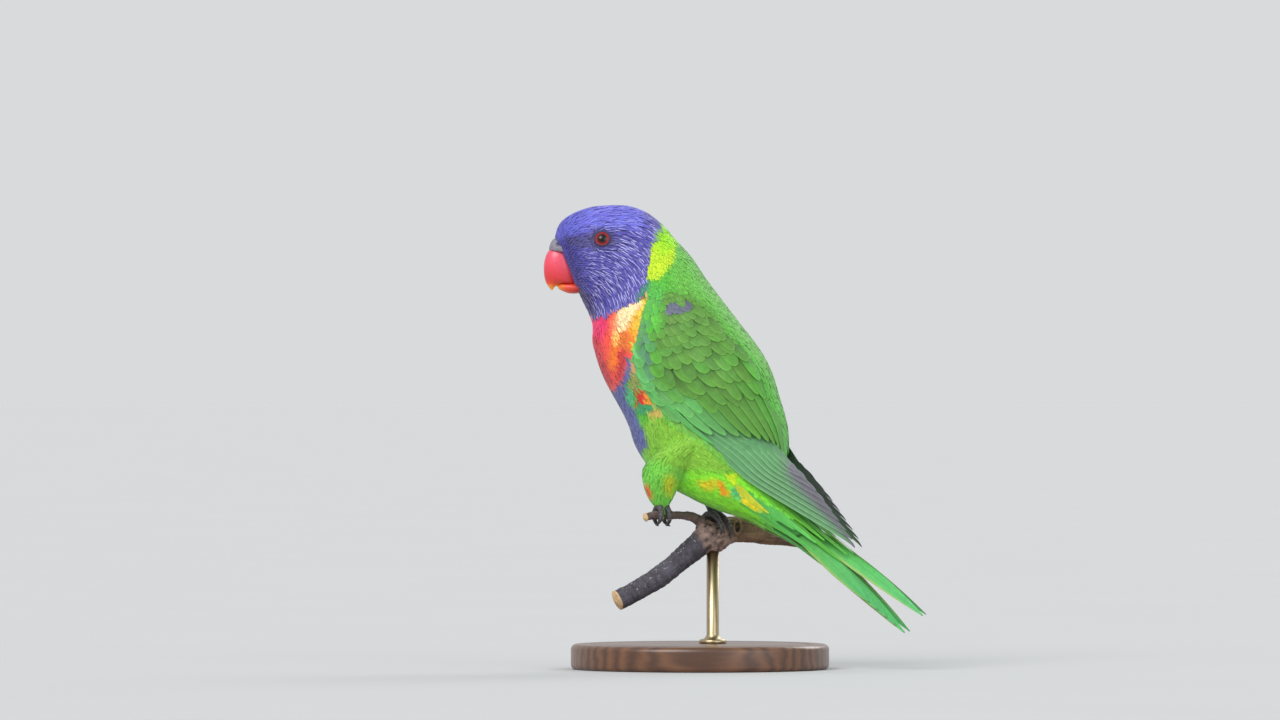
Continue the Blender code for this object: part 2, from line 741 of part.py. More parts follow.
def add_tail():
    rings = []
    for i, t_out in enumerate((0.0, 3.5, 7.0)):
        back, belly, half, drop = section(LAST)
        ahead = np.array((0.78, -0.63))
        shrink = 1.0 - 0.09 * i
        ring = []
        for j in range(16):
            a = 2 * math.pi * j / 16
            mid = (back + belly) / 2 + (back - belly) / 2 * math.cos(a) * shrink
            mid = mid + ahead * (GAP + t_out)
            ring.append(np.array((mid[0], half * math.sin(a) * shrink, mid[1])))
        rings.append(ring)
    core = mesh_object("tail", *lofted(rings))
    vanes = []
    for side in (-1, 1):
        rows = [((814.5, 536.0), (863, 567), (921, 614), 1.6, 3.3, 4.4, 47)]
        for k in range(5):
            f = k / 4
            rows.append(((809, 540 + f * 2), (850 - 14 * f, 579 - 8 * f),
                         (903 - 58 * f, 631 - 40 * f), 4.2 + 0.9 * k, 5.4 + 0.9 * k, 3.7, 66 + 4 * f))
        for (u0, v0), (u1, v1), (u2, v2), y_root, y_tip, half, roll in rows:
            centres = []
            for f in (0.0, 0.25, 0.5, 0.75, 0.92, 1.0):
                u = (1 - f) ** 2 * u0 + 2 * f * (1 - f) * (2 * u1 - (u0 + u2) / 2) + f * f * u2
                v = (1 - f) ** 2 * v0 + 2 * f * (1 - f) * (2 * v1 - (v0 + v2) / 2) + f * f * v2
                y = y_root + (y_tip - y_root) * f
                x, z = drawn(u, v, -y)
                centres.append(np.array((x, side * y, z + (0.45 if side > 0 else 0.0))))
            roll_angle = math.radians(roll)
            normal = np.array((0.63 * math.cos(roll_angle), side * math.sin(roll_angle),
                               0.78 * math.cos(roll_angle)))
            lean = 0.0 if roll < 50 else 0.25 * side
            shape = vane(centres, [normal] * 6, [half * s for s in (0.75, 0.95, 1.0, 0.75, 0.42, 0.12)],
                         thick=0.62, columns=3, ridge=0.35, lean=lean)
            vanes.append(mesh_object("rectrix", *shape, collection=cutters))
    boolean(core, vanes, "UNION", "MANIFOLD")
    return core


# Legs: feathered thighs, gripping feet and claws

BRANCH = np.array((math.cos(math.radians(BRANCH_PLAN)), math.sin(math.radians(BRANCH_PLAN)), 0.0))
FRONT = np.array((-BRANCH[1], BRANCH[0], 0.0))
UP = np.array((0.0, 0.0, 1.0))
TWIG_AT = np.array((-18.2, -7.5, (DRAW_V - 515) * GRID))
KNOT_AT = np.array(KNOT)
TWIG_RUN = np.array((-(KNOT_AT[0] - TWIG_AT[0]), -(KNOT_AT[1] - TWIG_AT[1]), 0.0))
TWIG_RUN = TWIG_RUN / np.linalg.norm(TWIG_RUN)


def toe_path(axis_at, run, front, radius, offset, splay, reach, thick):
    """Points of one toe over a branch, from the ankle to where the claw starts."""
    path = []
    ring = radius + 0.3 + thick
    for i in range(9):
        f = i / 8
        a = math.radians(reach * f - 9.0 * (1.0 - f) * (1.0 + 0.13 * offset))
        along = offset + splay * f
        path.append(axis_at + run * along + ring * (math.sin(a) * front + math.cos(a) * UP))
    return path


def foot_parts(kind, extra=0.0):
    """Tubes of one foot as (path, radii), and the starts of its four claws."""
    if kind == "left":
        axis_at, run, radius = TWIG_AT, -TWIG_RUN, TWIG_RADIUS
        front = np.array((-run[1], run[0], 0.0))
        ankle = place(660.5, 499, -12.0)
        reaches = (122, 112, 104, 112)
    else:
        axis_at, run, radius = KNOT_AT, BRANCH, KNOT_RADIUS
        front = FRONT
        ankle = place(694, 497.5, 12.0)
        reaches = (78, 70, 62, 66)
    toes, claws = [], []
    for k, (ahead, offset, splay) in enumerate(((1, 2.1, 2.4), (1, -1.1, -0.4),
                                                 (-1, -2.3, -2.2), (-1, 0.8, 0.8))):
        full = toe_path(axis_at, run, front * ahead, radius, offset, splay, reaches[k] + 40, TOE_RADIUS)
        length = np.cumsum([0] + [np.linalg.norm(full[i + 1] - full[i]) for i in range(8)])
        path = toe_path(axis_at, run, front * ahead, radius, offset, splay * reaches[k] / (reaches[k] + 40),
                        reaches[k], TOE_RADIUS)
        radii = [TOE_RADIUS * (1.10 - 0.30 * i / 8 + 0.07 * (i % 2)) - 0.10 - 0.03 * k + extra
                 for i in range(9)]
        toes.append((path, radii))
        way = path[-1] - path[-2]
        way = way / np.linalg.norm(way)
        inward = axis_at - path[-1]
        inward = inward - run * np.dot(inward, run)
        inward = inward - way * np.dot(inward, way)
        inward = inward / np.linalg.norm(inward)
        claw, claw_radii = [], []
        for i in range(7):
            f = i / 6
            bend = math.radians(62) * f
            reach = 5.2 / math.radians(62)
            claw.append(path[-1] + way * (0.32 + reach * math.sin(bend))
                        + inward * (reach * (1 - math.cos(bend)) - 0.25))
            claw_radii.append(1.02 * (1 - f) ** 0.8 + 0.16)
        claws.append((claw, claw_radii))
    top = axis_at + UP * (radius + 0.3 + TOE_RADIUS + 0.5)
    world_ankle = posed([ankle])[0]
    middle = 0.45 * top + 0.55 * world_ankle
    toes.append(([top - UP * 1.3 + run * 0.2, top, middle, world_ankle],
                 [2.5 + extra, 2.35 + extra, 1.75 + extra, 1.9 + extra]))
    return toes, claws


def add_foot(kind):
    toes, claws = foot_parts(kind)
    pieces = [tube("toe", path, radii, 1 if i < 4 else 2, cutters, tilt=0.17 * i + 0.06)
              for i, (path, radii) in enumerate(toes)]
    core = pieces.pop()
    core.name = "foot_" + kind
    cutters.objects.unlink(core)
    model.objects.link(core)
    boolean(core, pieces, "UNION")
    made = [core]
    for k, (path, radii) in enumerate(claws):
        made.append(tube("claw_%s_%d" % (kind, k + 1), path, radii, 1))
    return made


THIGH_LEFT = ((702, 420, -15.0, 10.5, 7.0), (689, 439, -17.0, 15.5, 9.5), (675.5, 456, -17.5, 17.2, 10.8),
              (668.5, 474, -16.5, 13.8, 9.8), (663.5, 490, -14.5, 8.9, 7.4), (663, 502, -12.8, 5.5, 4.9),
              (663, 509.5, -12.0, 2.5, 2.4))
THIGH_RIGHT = ((722, 432, 14.0, 9.0, 7.0), (716, 450, 16.0, 11.0, 9.0), (708, 467, 15.5, 9.6, 8.6),
               (700, 480, 14.0, 6.6, 6.4), (695.5, 489, 12.8, 4.0, 4.0), (694, 494, 12.2, 2.4, 2.4))


def thigh_loft(rows, ring=14):
    rings = []
    for u, v, y, deep, wide in rows:
        middle = place(u, v, y)
        ring_points = []
        for j in range(ring):
            a = 2 * math.pi * j / ring
            ring_points.append(middle + np.array((deep * math.cos(a) * 0.93, wide * math.sin(a),
                                                  deep * math.cos(a) * 0.30)))
        rings.append(ring_points)
    return lofted(rings)


def add_thigh(name, rows, kind):
    thigh = mesh_object(name, *thigh_loft(rows))
    grown = mesh_object("grown_body", *lofted(body_rings(9.0, LAST, 26, GAP)), collection=cutters)
    toes, claws = foot_parts(kind, GAP)
    pieces = [tube("grown_toe", path, radii, 2, cutters) for path, radii in toes]
    pieces.append(grown)
    for path, radii in perch_tubes(GAP):
        pieces.append(tube("grown_perch", path, radii, 2, cutters))
    boolean(thigh, pieces, "DIFFERENCE")
    return thigh


# Perch and stand

def perch_tubes(extra=0.0):
    """Limbs of the perch as (path, radii); the knot is added where they meet."""
    def spot(u, v, y):
        return np.array(((u - DRAW_U) * GRID, y, (DRAW_V - v) * GRID))

    twig = [spot(701, 522, 7.5), spot(692, 517, 3.4), spot(680, 515, -0.2), TWIG_AT,
            spot(652, 515.5, -10.2), spot(645, 517, -12.4)]
    left = [spot(708, 537, 9.5), spot(694, 549, 6.8), spot(678, 562, 4.0), spot(662, 575, 1.0),
            spot(646, 585, -1.6), spot(632, 593, -3.8), spot(617, 600, -6.4)]
    right = [spot(716, 533, 11.0), spot(732, 530.5, 15.4), spot(750, 531, 18.6), spot(770, 533, 21.2),
             spot(789, 535, 23.6), spot(802, 536, 25.2)]
    return (
        (twig, [2.9 + extra, 2.6 + extra, 2.3 + extra, 2.3 + extra, 2.25 + extra, 2.2 + extra]),
        (left, [6.6 + extra, 6.1 + extra, 5.6 + extra, 5.5 + extra, 5.3 + extra, 5.2 + extra, 5.1 + extra]),
        (right, [7.0 + extra, 6.5 + extra, 6.2 + extra, 6.3 + extra, 6.1 + extra, 6.0 + extra]),
    )


def add_perch():
    pieces = [tube("limb", path, radii, 3, cutters) for path, radii in perch_tubes()]
    knot = ball("perch", (0, 0, 0), KNOT_RADIUS, segments=20, rings=12, scale=(1.14, 0.985, 1.0))
    turn = math.radians(BRANCH_PLAN)
    for vert in knot.data.vertices:
        x, y, z = vert.co
        vert.co = (x * math.cos(turn) - y * math.sin(turn) + KNOT[0] * MM,
                   x * math.sin(turn) + y * math.cos(turn) + KNOT[1] * MM, z + KNOT[2] * MM)
    boolean(knot, pieces, "UNION")
    hole = cylinder("rod_hole", (*ROD_AT, 40.0), ROD_RADIUS + 0.3, 21.0, cutters, 24)
    boolean(knot, [hole], "DIFFERENCE")
    return knot


def add_stand():
    base = cylinder("stand_base", (0, 0, 0), BASE_RADIUS, BASE_HEIGHT, segments=56)
    hole = cylinder("base_hole", (*ROD_AT, 4.0), ROD_RADIUS + 0.3, 20.0, cutters, 24)
    round_rim = base.modifiers.new("rim", "BEVEL")
    round_rim.width = 2.0 * MM
    round_rim.segments = 2
    round_rim.limit_method = "ANGLE"
    bpy.context.view_layer.update()
    rounded = evaluated_mesh(base)
    base.modifiers.remove(round_rim)
    base.data = rounded
    boolean(base, [hole], "DIFFERENCE")
    rod = cylinder("stand_rod", (*ROD_AT, 4.3), ROD_RADIUS, 56.4, segments=24)
    return base, rod


# Assembly and finishes

def main():
    start()
    head, neck, torso = add_body()
    upper, lower, cere = add_bill(head)
    eyes = add_eyes(head)
    wings = add_wings(torso)
    tail = add_tail()
    feet = add_foot("left") + add_foot("right")
    thighs = [add_thigh("thigh_left", THIGH_LEFT, "left"), add_thigh("thigh_right", THIGH_RIGHT, "right")]
    perch = add_perch()
    base, rod = add_stand()

    blue = finish_material("blue_violet_plumage", (0.06, 0.05, 0.36), 0.6)
    breast = finish_material("green_collar_plumage", (0.45, 0.60, 0.03), 0.6)
    green = finish_material("green_plumage", (0.07, 0.38, 0.03), 0.6)
    scarlet = finish_material("scarlet_bill", (0.80, 0.07, 0.03), 0.35)
    horn = finish_material("dark_claw", (0.03, 0.03, 0.03), 0.4)
    grey = finish_material("grey_skin", (0.12, 0.11, 0.12), 0.6)
    iris = finish_material("red_eye", (0.35, 0.02, 0.01), 0.15)
    bark = finish_material("bark", (0.10, 0.07, 0.05), 0.9)
    wood = finish_material("stand_wood", (0.16, 0.08, 0.04), 0.45)
    metal = finish_material("stand_metal", (0.35, 0.30, 0.22), 0.35, 1.0)
    finishes = [(head, blue), (neck, breast), (torso, green), (upper, scarlet), (lower, scarlet),
                (cere, grey), (tail, green), (perch, bark), (base, wood), (rod, metal)]
    finishes += [(item, green) for item in wings + thighs]
    finishes += [(item, iris if "lid" not in item.name else grey) for item in eyes]
    finishes += [(item, horn if "claw" in item.name else grey) for item in feet]
    for item, finish in finishes:
        own = finish.copy()
        own.name = item.name + "_" + finish.name
        item.data.materials.clear()
        item.data.materials.append(own)
    for item in [head, neck, torso, upper, lower, cere] + eyes + thighs + feet + [perch, base, rod]:
        item.data.shade_smooth()
        item.data.set_sharp_from_angle(angle=math.radians(40))


main()
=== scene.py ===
# %% [markdown]
# # A rainbow lorikeet on a display stand
# This lesson dresses a imported solid model of a perched lorikeet.
# The solids give the size and the outline. This script makes what the eye reads:
# the skin, every feather, the eyes, the horn of the bill and claws, the scaly feet,
# the bark of the perch and the finish of the stand.
# The first step loads the solids and counts them.

# %% Load the solid model
import math

import bmesh
import bpy
import numpy as np
from mathutils import Matrix, Vector
from mathutils.bvhtree import BVHTree


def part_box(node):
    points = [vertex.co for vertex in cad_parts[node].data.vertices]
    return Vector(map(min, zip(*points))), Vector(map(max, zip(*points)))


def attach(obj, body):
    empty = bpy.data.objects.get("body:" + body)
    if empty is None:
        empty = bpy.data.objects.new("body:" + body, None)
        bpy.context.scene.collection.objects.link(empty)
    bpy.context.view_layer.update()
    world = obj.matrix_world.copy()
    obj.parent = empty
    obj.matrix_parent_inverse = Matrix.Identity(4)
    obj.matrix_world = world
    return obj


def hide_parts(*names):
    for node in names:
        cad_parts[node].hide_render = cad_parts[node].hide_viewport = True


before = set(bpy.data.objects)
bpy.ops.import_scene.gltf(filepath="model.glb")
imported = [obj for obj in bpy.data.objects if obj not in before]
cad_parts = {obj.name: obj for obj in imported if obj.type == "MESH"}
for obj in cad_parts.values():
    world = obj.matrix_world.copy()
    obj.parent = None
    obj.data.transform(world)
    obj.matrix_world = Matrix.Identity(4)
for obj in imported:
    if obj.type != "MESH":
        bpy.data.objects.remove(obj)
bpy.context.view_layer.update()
MM = 0.001
print("the solid model has", len(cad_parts), "nodes")

# %% [markdown]
# ## The drawing behind the bird
# The bird was drawn once from its left side, on a grid of 0.48 mm.
# Every place on the bird can be worked out from that drawing, so the coat can be
# made straight, with the head looking forward, and put in its pose afterwards.
# The pose is a smooth turn of the head about an upright axis, and then a turn of the
# whole bird. Using the same rules as the solids keeps every feather on its body.

# %% The drawing's rules
GRID = 0.48
DRAW_U, DRAW_V = 700.0, 669.0
BODY_YAW, HEAD_TURN = 15.0, 20.0
NECK_X = -27.3
SIDEWAYS, UP = np.array((0.0, 1.0, 0.0)), np.array((0.0, 0.0, 1.0))
TURN_FROM, TURN_TO = 140.0, 176.0
BODY_POWER = 0.88
HEAD_ROWS = 9

# Back point, belly point (grid units), half-width (mm), and how low the widest place is
SECTIONS = np.array((
    (553.5, 236.0, 576.0, 292.0, 7.0, 0.00), (560.0, 222.0, 580.0, 297.0, 11.0, 0.00),
    (572.0, 213.0, 582.0, 301.0, 14.0, 0.02), (590.0, 206.5, 584.0, 305.0, 16.0, 0.05),
    (610.0, 204.5, 586.0, 309.0, 17.5, 0.08), (630.0, 205.5, 588.0, 313.0, 18.5, 0.10),
    (648.0, 212.5, 590.0, 318.0, 19.0, 0.10), (662.0, 223.5, 592.0, 324.0, 19.5, 0.08),
    (677.0, 240.0, 592.5, 333.0, 20.5, 0.05), (691.0, 257.0, 593.5, 342.0, 22.5, 0.02),
    (705.0, 278.0, 596.0, 352.0, 25.0, 0.00), (722.0, 301.0, 600.0, 365.0, 27.5, 0.00),
    (738.0, 322.0, 606.0, 380.0, 28.5, 0.00), (752.0, 340.0, 614.0, 395.0, 29.0, 0.00),
    (764.0, 358.0, 623.0, 411.0, 29.0, 0.00), (772.0, 376.0, 631.0, 428.0, 28.5, 0.00),
    (778.0, 396.0, 638.0, 449.0, 27.0, 0.00), (784.0, 416.0, 660.0, 480.0, 25.0, 0.00),
    (787.0, 437.0, 690.0, 498.0, 22.0, 0.00), (786.0, 462.0, 716.0, 510.0, 18.0, 0.00),
    (793.0, 487.0, 741.0, 518.0, 15.0, 0.00), (806.0, 506.0, 763.0, 529.0, 12.0, 0.00),
    (821.0, 523.0, 789.0, 544.0, 9.0, 0.00),
))
LAST = len(SECTIONS) - 1


def drawn(u, v, y=0.0, turned=False):
    """Place in the straight bird, in mm, of a place in the drawing at sideways place y."""
    u, v, y = np.broadcast_arrays(np.asarray(u, float), v, y)
    yaw = math.radians(BODY_YAW)
    across = (u - DRAW_U) * GRID
    if turned:
        net = math.radians(HEAD_TURN - BODY_YAW)
        x = NECK_X + (across - NECK_X * math.cos(yaw) + y * math.sin(net)) / math.cos(net)
    else:
        x = (across - y * math.sin(yaw)) / math.cos(yaw)
    return np.stack((x, y, (DRAW_V - v) * GRID), axis=-1)


def posed(points):
    """Turn the head, then the whole bird."""
    p = np.asarray(points, float)
    along = (-0.657 * p[..., 0] + 0.754 * p[..., 2] - TURN_FROM) / (TURN_TO - TURN_FROM)
    along = np.clip(along, 0.0, 1.0)
    turn = math.radians(HEAD_TURN) * along * along * (3.0 - 2.0 * along)
    dx, dy = p[..., 0] - NECK_X, p[..., 1]
    x = NECK_X + dx * np.cos(turn) - dy * np.sin(turn)
    y = dx * np.sin(turn) + dy * np.cos(turn)
    yaw = -math.radians(BODY_YAW)
    return np.stack((x * math.cos(yaw) - y * math.sin(yaw),
                     x * math.sin(yaw) + y * math.cos(yaw), p[..., 2]), axis=-1)


def through(table, t):
    """Smooth curve through the rows of a table, at places t."""
    table = np.asarray(table, float)
    last = len(table) - 1
    t = np.clip(t, 0.0, last - 1e-6)
    i = np.floor(t).astype(int)
    f = (t - i)[..., None]
    r = [table[np.clip(i + k, 0, last)] for k in (-1, 0, 1, 2)]
    return 0.5 * (2 * r[1] + (r[2] - r[0]) * f + (2 * r[0] - 5 * r[1] + 4 * r[2] - r[3]) * f * f
                  + (3 * r[1] - r[0] - 3 * r[2] + r[3]) * f ** 3)


def unit(vectors):
    return vectors / np.maximum(np.linalg.norm(vectors, axis=-1, keepdims=True), 1e-9)


def dot(a, b):
    return np.sum(a * b, axis=-1, keepdims=True)


def ramp(x, low, high):
    """Smooth step from 0 at low to 1 at high."""
    f = np.clip((x - low) / (high - low), 0.0, 1.0)
    return f * f * (3 - 2 * f)


def blend(first, second, amount):
    return first * (1 - amount) + second * amount


def folded(angle):
    """Angle down from the back on either side, 0 to 180 degrees."""
    return np.abs((np.asarray(angle) + 180.0) % 360.0 - 180.0)


# %% [markdown]
# ## The body as a formula
# A place on the bird's body is a pair of numbers: how far it is from brow to tail, and its
# angle round the body, with 0 at the back and 90 on the left side.
# The formula gives the point, and small steps along each number give the directions in
# which feathers lie, which run from the bill toward the tail.

# %% Body surface
T_STEP, ANGLE_STEP = 0.02, 1.0


def raised(flat, t, angle, lift):
    """Point and normal of the surface flat(t, angle), raised by lift mm along the normal."""
    t, angle = np.broadcast_arrays(np.asarray(t, float), np.asarray(angle, float))
    along = flat(t + T_STEP, angle) - flat(t - T_STEP, angle)
    across = flat(t, angle + ANGLE_STEP) - flat(t, angle - ANGLE_STEP)
    normal = unit(np.cross(across, along))
    return flat(t, angle) + normal * np.asarray(lift, float)[..., None], normal


def body_point(t, angle):
    over = np.clip(t - LAST, 0.0, None)[..., None]
    t = np.clip(t, 0.0, LAST - 1e-6)
    r = through(SECTIONS, t)
    behind_head = np.clip(t - HEAD_ROWS + 1.0, 0.0, 1.0)[..., None]
    back, belly = (blend(drawn(r[..., k], r[..., k + 1], 0.0, True), drawn(r[..., k], r[..., k + 1]), behind_head)
                   for k in (0, 2))
    a = np.radians(angle)
    run = (np.cos(a) - r[..., 5] * np.sin(a) ** 2)[..., None]
    middle = (back + belly) / 2 + (back - belly) / 2 * run
    side = -r[..., 4] * np.sign(np.sin(a)) * np.abs(np.sin(a)) ** BODY_POWER
    middle[..., 1] = side * (1 - 0.06 * over[..., 0])
    return middle + over * np.array((8.4, 0.0, -6.8))


def body(t, angle, lift=0.0):
    """Points and normals of the body's surface in the straight bird."""
    return raised(body_point, t, angle, lift)


def seen_from_left(points):
    """Grid place in the side view of straight-bird points, the far side folded onto the near one."""
    p = np.array(points, float)
    p[..., 1] = -np.abs(p[..., 1])
    w = posed(p)
    return w[..., 0] / GRID + DRAW_U, DRAW_V - w[..., 2] / GRID


print("body surface spans", np.ptp(posed(body(np.linspace(0, LAST, 40)[:, None],
                                               np.arange(0, 360, 30.0)[None])[0]).reshape(-1, 3), axis=0))

# %% [markdown]
# ## The markings
# A lorikeet's colours lie in clear zones, so they are kept as a list of outlines in the side
# view, each with a colour and a softness. Both the skin and the feathers ask the same
# function for their colour, so no bare patch of another colour shows between feathers.
# Each feather asks at its own place with a little jitter, which gives ragged, feathery borders.

# %% Colour helpers
def tone(red, green, blue):
    """Linear colour from screen values of 0 to 255."""
    c = np.array((red, green, blue)) / 255.0
    return np.where(c <= 0.04045, c / 12.92, ((c + 0.055) / 1.055) ** 2.4)


def inside(u, v, outline):
    """How far (u, v) is inside a closed outline, in grid units; outside is negative."""
    corners = np.array(outline, float)
    best = np.full(u.shape, 1e9)
    crossings = np.zeros(u.shape, bool)
    for (x0, y0), (x1, y1) in zip(corners, np.roll(corners, -1, axis=0)):
        dx, dy = x1 - x0, y1 - y0
        f = np.clip(((u - x0) * dx + (v - y0) * dy) / (dx * dx + dy * dy), 0.0, 1.0)
        best = np.minimum(best, np.hypot(u - x0 - f * dx, v - y0 - f * dy))
        if y0 != y1:
            crossings ^= ((y0 > v) != (y1 > v)) & (u < dx * (v - y0) / dy + x0)
    return np.where(crossings, best, -best)


# %% The zones, each painted over the ones before it
ZONES = (
    ("yellowish shoulder", ((662, 296), (690, 288), (722, 318), (728, 345), (700, 366), (668, 350)),
     (88, 140, 54), 14),
    ("mid wing", ((650, 336), (735, 335), (780, 440), (735, 430), (665, 395)), (86, 146, 52), 14),
    ("blue-green wing front", ((636, 322), (646, 320), (650, 350), (664, 396), (645, 394), (630, 360)),
     (85, 142, 102), 8),
    ("bright shoulder", ((643, 290), (662, 286), (664, 304), (650, 316), (643, 312)), (84, 176, 70), 6),
    ("bright wing edge", ((630, 350), (636, 350), (646, 380), (668, 404), (694, 426), (690, 434), (640, 396)),
     (104, 190, 104), 6),
    ("bright lower wing", ((648, 376), (680, 396), (740, 430), (786, 440), (794, 470), (742, 468), (700, 446),
                           (660, 408)), (98, 174, 92), 10),
    ("bright back", ((668, 232), (684, 246), (730, 305), (775, 365), (800, 450), (770, 380), (715, 306),
                     (672, 286)), (100, 178, 68), 8),
    ("rump", ((770, 420), (800, 440), (840, 530), (800, 520), (770, 480)), (92, 184, 76), 8),
    ("thigh", ((636, 430), (700, 440), (690, 500), (668, 516), (650, 512), (634, 470)), (122, 216, 76), 9),
    ("flank", ((655, 412), (700, 440), (735, 470), (700, 478), (640, 455), (640, 425)), (134, 196, 60), 10),
    ("vent", ((690, 470), (740, 475), (800, 520), (815, 566), (760, 530), (690, 500), (674, 488)),
     (140, 242, 52), 8),
    ("under tail", ((745, 495), (790, 515), (812, 545), (812, 565), (775, 545)), (96, 198, 90), 8),
    ("head", ((515, 170), (600, 180), (648, 190), (668, 218), (664, 222), (656, 232), (647.5, 239),
              (646.7, 254), (645.5, 266), (646, 279), (643, 292), (636, 296.5), (628, 299.5), (620, 302.5),
              (614, 306), (607, 308), (600, 309.5), (594, 311), (560, 320), (515, 300)), (82, 76, 168), 2.0),
    ("crown", ((538, 212), (575, 190), (640, 188), (655, 214), (618, 226), (575, 234), (548, 250)),
     (104, 104, 212), 14),
    ("lores", ((562, 240), (585, 235), (600, 229), (611, 232), (616, 240), (609, 247), (592, 248), (568, 248)),
     (80, 76, 138), 8),
    ("cheek shade", ((618, 262), (640, 258), (645, 286), (628, 296), (612, 288)), (84, 78, 168), 10),
    ("nape shade", ((630, 206), (652, 212), (664, 222), (650, 236), (640, 228)), (84, 78, 164), 7),
    ("chin", ((575, 288), (586, 290), (596, 308), (588, 314), (574, 300)), (64, 58, 128), 6),
    ("teal edge", ((633, 286), (644, 277), (650, 284), (646, 292), (636, 297)), (66, 138, 112), 7),
    ("collar", ((664, 222), (669, 227), (675.5, 241), (675, 257), (668.5, 269), (658.5, 280), (647, 279),
                (645.5, 266), (646.7, 254), (647.5, 239), (656, 232)), (188, 221, 37), 2.2),
    ("collar top", ((658, 216), (668, 222), (673, 233), (663, 234), (657, 230)), (96, 214, 40), 4),
    ("breast", ((575, 311), (600, 309.5), (614, 306), (628, 299.5), (647, 291), (646, 298), (643.5, 320),
                (640, 338), (632, 352), (627, 362), (624, 376), (617, 390), (590, 396), (560, 350)),
     (246, 84, 72), 2.0),
    ("breast magenta", ((575, 309), (606, 308), (606, 326), (600, 342), (585, 345), (575, 330)),
     (238, 56, 112), 6),
    ("breast dark front", ((585, 336), (597, 338), (604, 362), (612, 384), (604, 384), (585, 350)),
     (204, 56, 70), 5),
    ("breast coral", ((617, 305), (631, 299), (628, 312), (616, 330), (610, 336), (609, 322)),
     (252, 132, 92), 4),
    ("breast orange", ((616, 330), (628, 316), (642, 306), (642, 322), (637, 338), (628, 351), (618, 347),
                       (614, 370), (607, 368), (608, 352), (611, 338)), (253, 124, 40), 4),
    ("breast ember", ((620, 332), (629, 332), (627, 350), (618, 350)), (226, 118, 50), 4),
    ("breast gold", ((629, 312), (643, 304), (641, 324), (632, 336), (627, 328)), (240, 178, 50), 5),
    ("breast amber", ((612, 330), (619, 326), (617, 344), (612, 346)), (255, 196, 104), 3),
    # Painted highlight: a pale cream patch where the light falls on the upper breast, not the feathers' own colour.
    ("breast painted highlight", ((620, 304), (634, 298), (646, 293), (643, 301), (634, 312), (625, 328), (616, 332),
                      (616, 320)), (255, 224, 170), 4),
    ("breast lime", ((641, 302), (645, 297), (643.5, 322), (640, 340), (632, 352), (629, 349), (637, 334)),
     (212, 210, 66), 2.4),
    ("breast dark", ((619, 349), (625, 348), (624, 362), (620, 380), (614, 380), (617, 362)),
     (200, 62, 60), 4),
    ("belly", ((627, 357), (631, 362), (628, 376), (625, 386), (625, 400), (632, 408), (640, 425),
               (646, 440), (640, 452), (627, 464), (610, 473), (585, 478), (585, 400), (612, 390), (620, 382),
               (623, 372)),
     (96, 104, 164), 3.4),
    ("flank beige", ((631, 360), (636, 366), (634, 378), (629, 382), (629, 372)), (206, 160, 104), 2),
    ("flank olive", ((629, 376), (636, 376), (640, 384), (634, 392), (627, 392)), (142, 154, 84), 3),
    ("flank green", ((625, 388), (632, 390), (633, 402), (628, 406), (624, 398)), (84, 182, 124), 2.4),
    ("flank red", ((635, 392), (641, 389), (645, 392), (643, 404), (634, 409)), (214, 44, 42), 2),
    ("flank orange", ((643, 394), (655, 397), (656, 402), (643, 403)), (244, 150, 48), 1.8),
    ("flank teal", ((635, 408), (644, 403), (652, 404), (648, 412), (636, 414)), (62, 160, 104), 2),
    ("flank gold", ((647, 411), (660, 403), (668, 411), (652, 418)), (204, 180, 92), 2.4),
    ("thigh yellow", ((664, 476), (672, 474), (677, 482), (672, 496), (664, 492)), (206, 222, 46), 7),
    ("thigh red", ((643, 484), (648, 486), (652, 498), (646, 498)), (242, 104, 48), 4),
    ("vent gold", ((697, 481), (712, 478), (716, 486), (708, 490), (699, 487)), (238, 214, 36), 5),
    ("vent orange", ((714, 479), (721, 480), (728, 498), (720, 496)), (244, 168, 30), 4),
    ("vent lime", ((725, 474), (735, 473), (737, 484), (728, 483)), (206, 234, 30), 3),
    ("vent teal", ((728, 486), (738, 487), (740, 499), (731, 498)), (92, 192, 118), 4),
    ("tail yellow", ((738, 489), (744, 491), (760, 509), (752, 510), (741, 503)), (240, 226, 40), 3.4),
)
GREEN, NAPE = tone(84, 178, 54), tone(150, 222, 24)
WING_ZONES = ZONES[:7]


def markings(u, v, t, angle, soft=1.0, zones=ZONES):
    """Linear colours at grid places; soft widens or narrows every zone's border."""
    colour = np.broadcast_to(GREEN, u.shape + (3,))
    for name, outline, shade, blur in zones:
        reach = blur * soft * 0.5
        colour = blend(colour, tone(*shade), ramp(inside(u, v, outline), -reach, reach)[..., None])
    nape = ramp(t, 6.9, 7.1) * ramp(-t, -8.3, -7.9) * ramp(-folded(angle), -60, -25)
    return blend(colour, NAPE, nape[..., None])


def in_zone(u, v, name):
    """How far places are inside the zone of that name, in grid units."""
    return inside(u, v, next(outline for label, outline, shade, blur in ZONES if label == name))


print("markings:", len(ZONES), "zones")

# %% [markdown]
# ## Meshes from arrays
# Thousands of feathers would be slow to make one face at a time, so a mesh is built from
# number arrays. A small helper fills the mesh, writes its colours and other values as
# attributes, and gives it a material. Round forms are lofts: rings of points in rows, with
# one more point to close each end.

# %% Mesh helpers
def linked(name, data):
    made = bpy.data.objects.new(name, data)
    bpy.context.scene.collection.objects.link(made)
    return made


def write_values(mesh, values):
    """Point attributes by name: a tint is a colour, other rows of three are vectors, the rest are numbers."""
    for label, rows in values.items():
        rows = np.asarray(rows, np.float32)
        kind, field = ("FLOAT", "value") if rows.ndim == 1 else ("FLOAT_VECTOR", "vector")
        if label.startswith("tint"):
            kind, field = "FLOAT_COLOR", "color"
            rows = np.concatenate((np.clip(rows, 0, 1), np.ones((len(rows), 1), np.float32)), axis=1)
        mesh.attributes.new(label, kind, "POINT").data.foreach_set(field, rows.ravel())


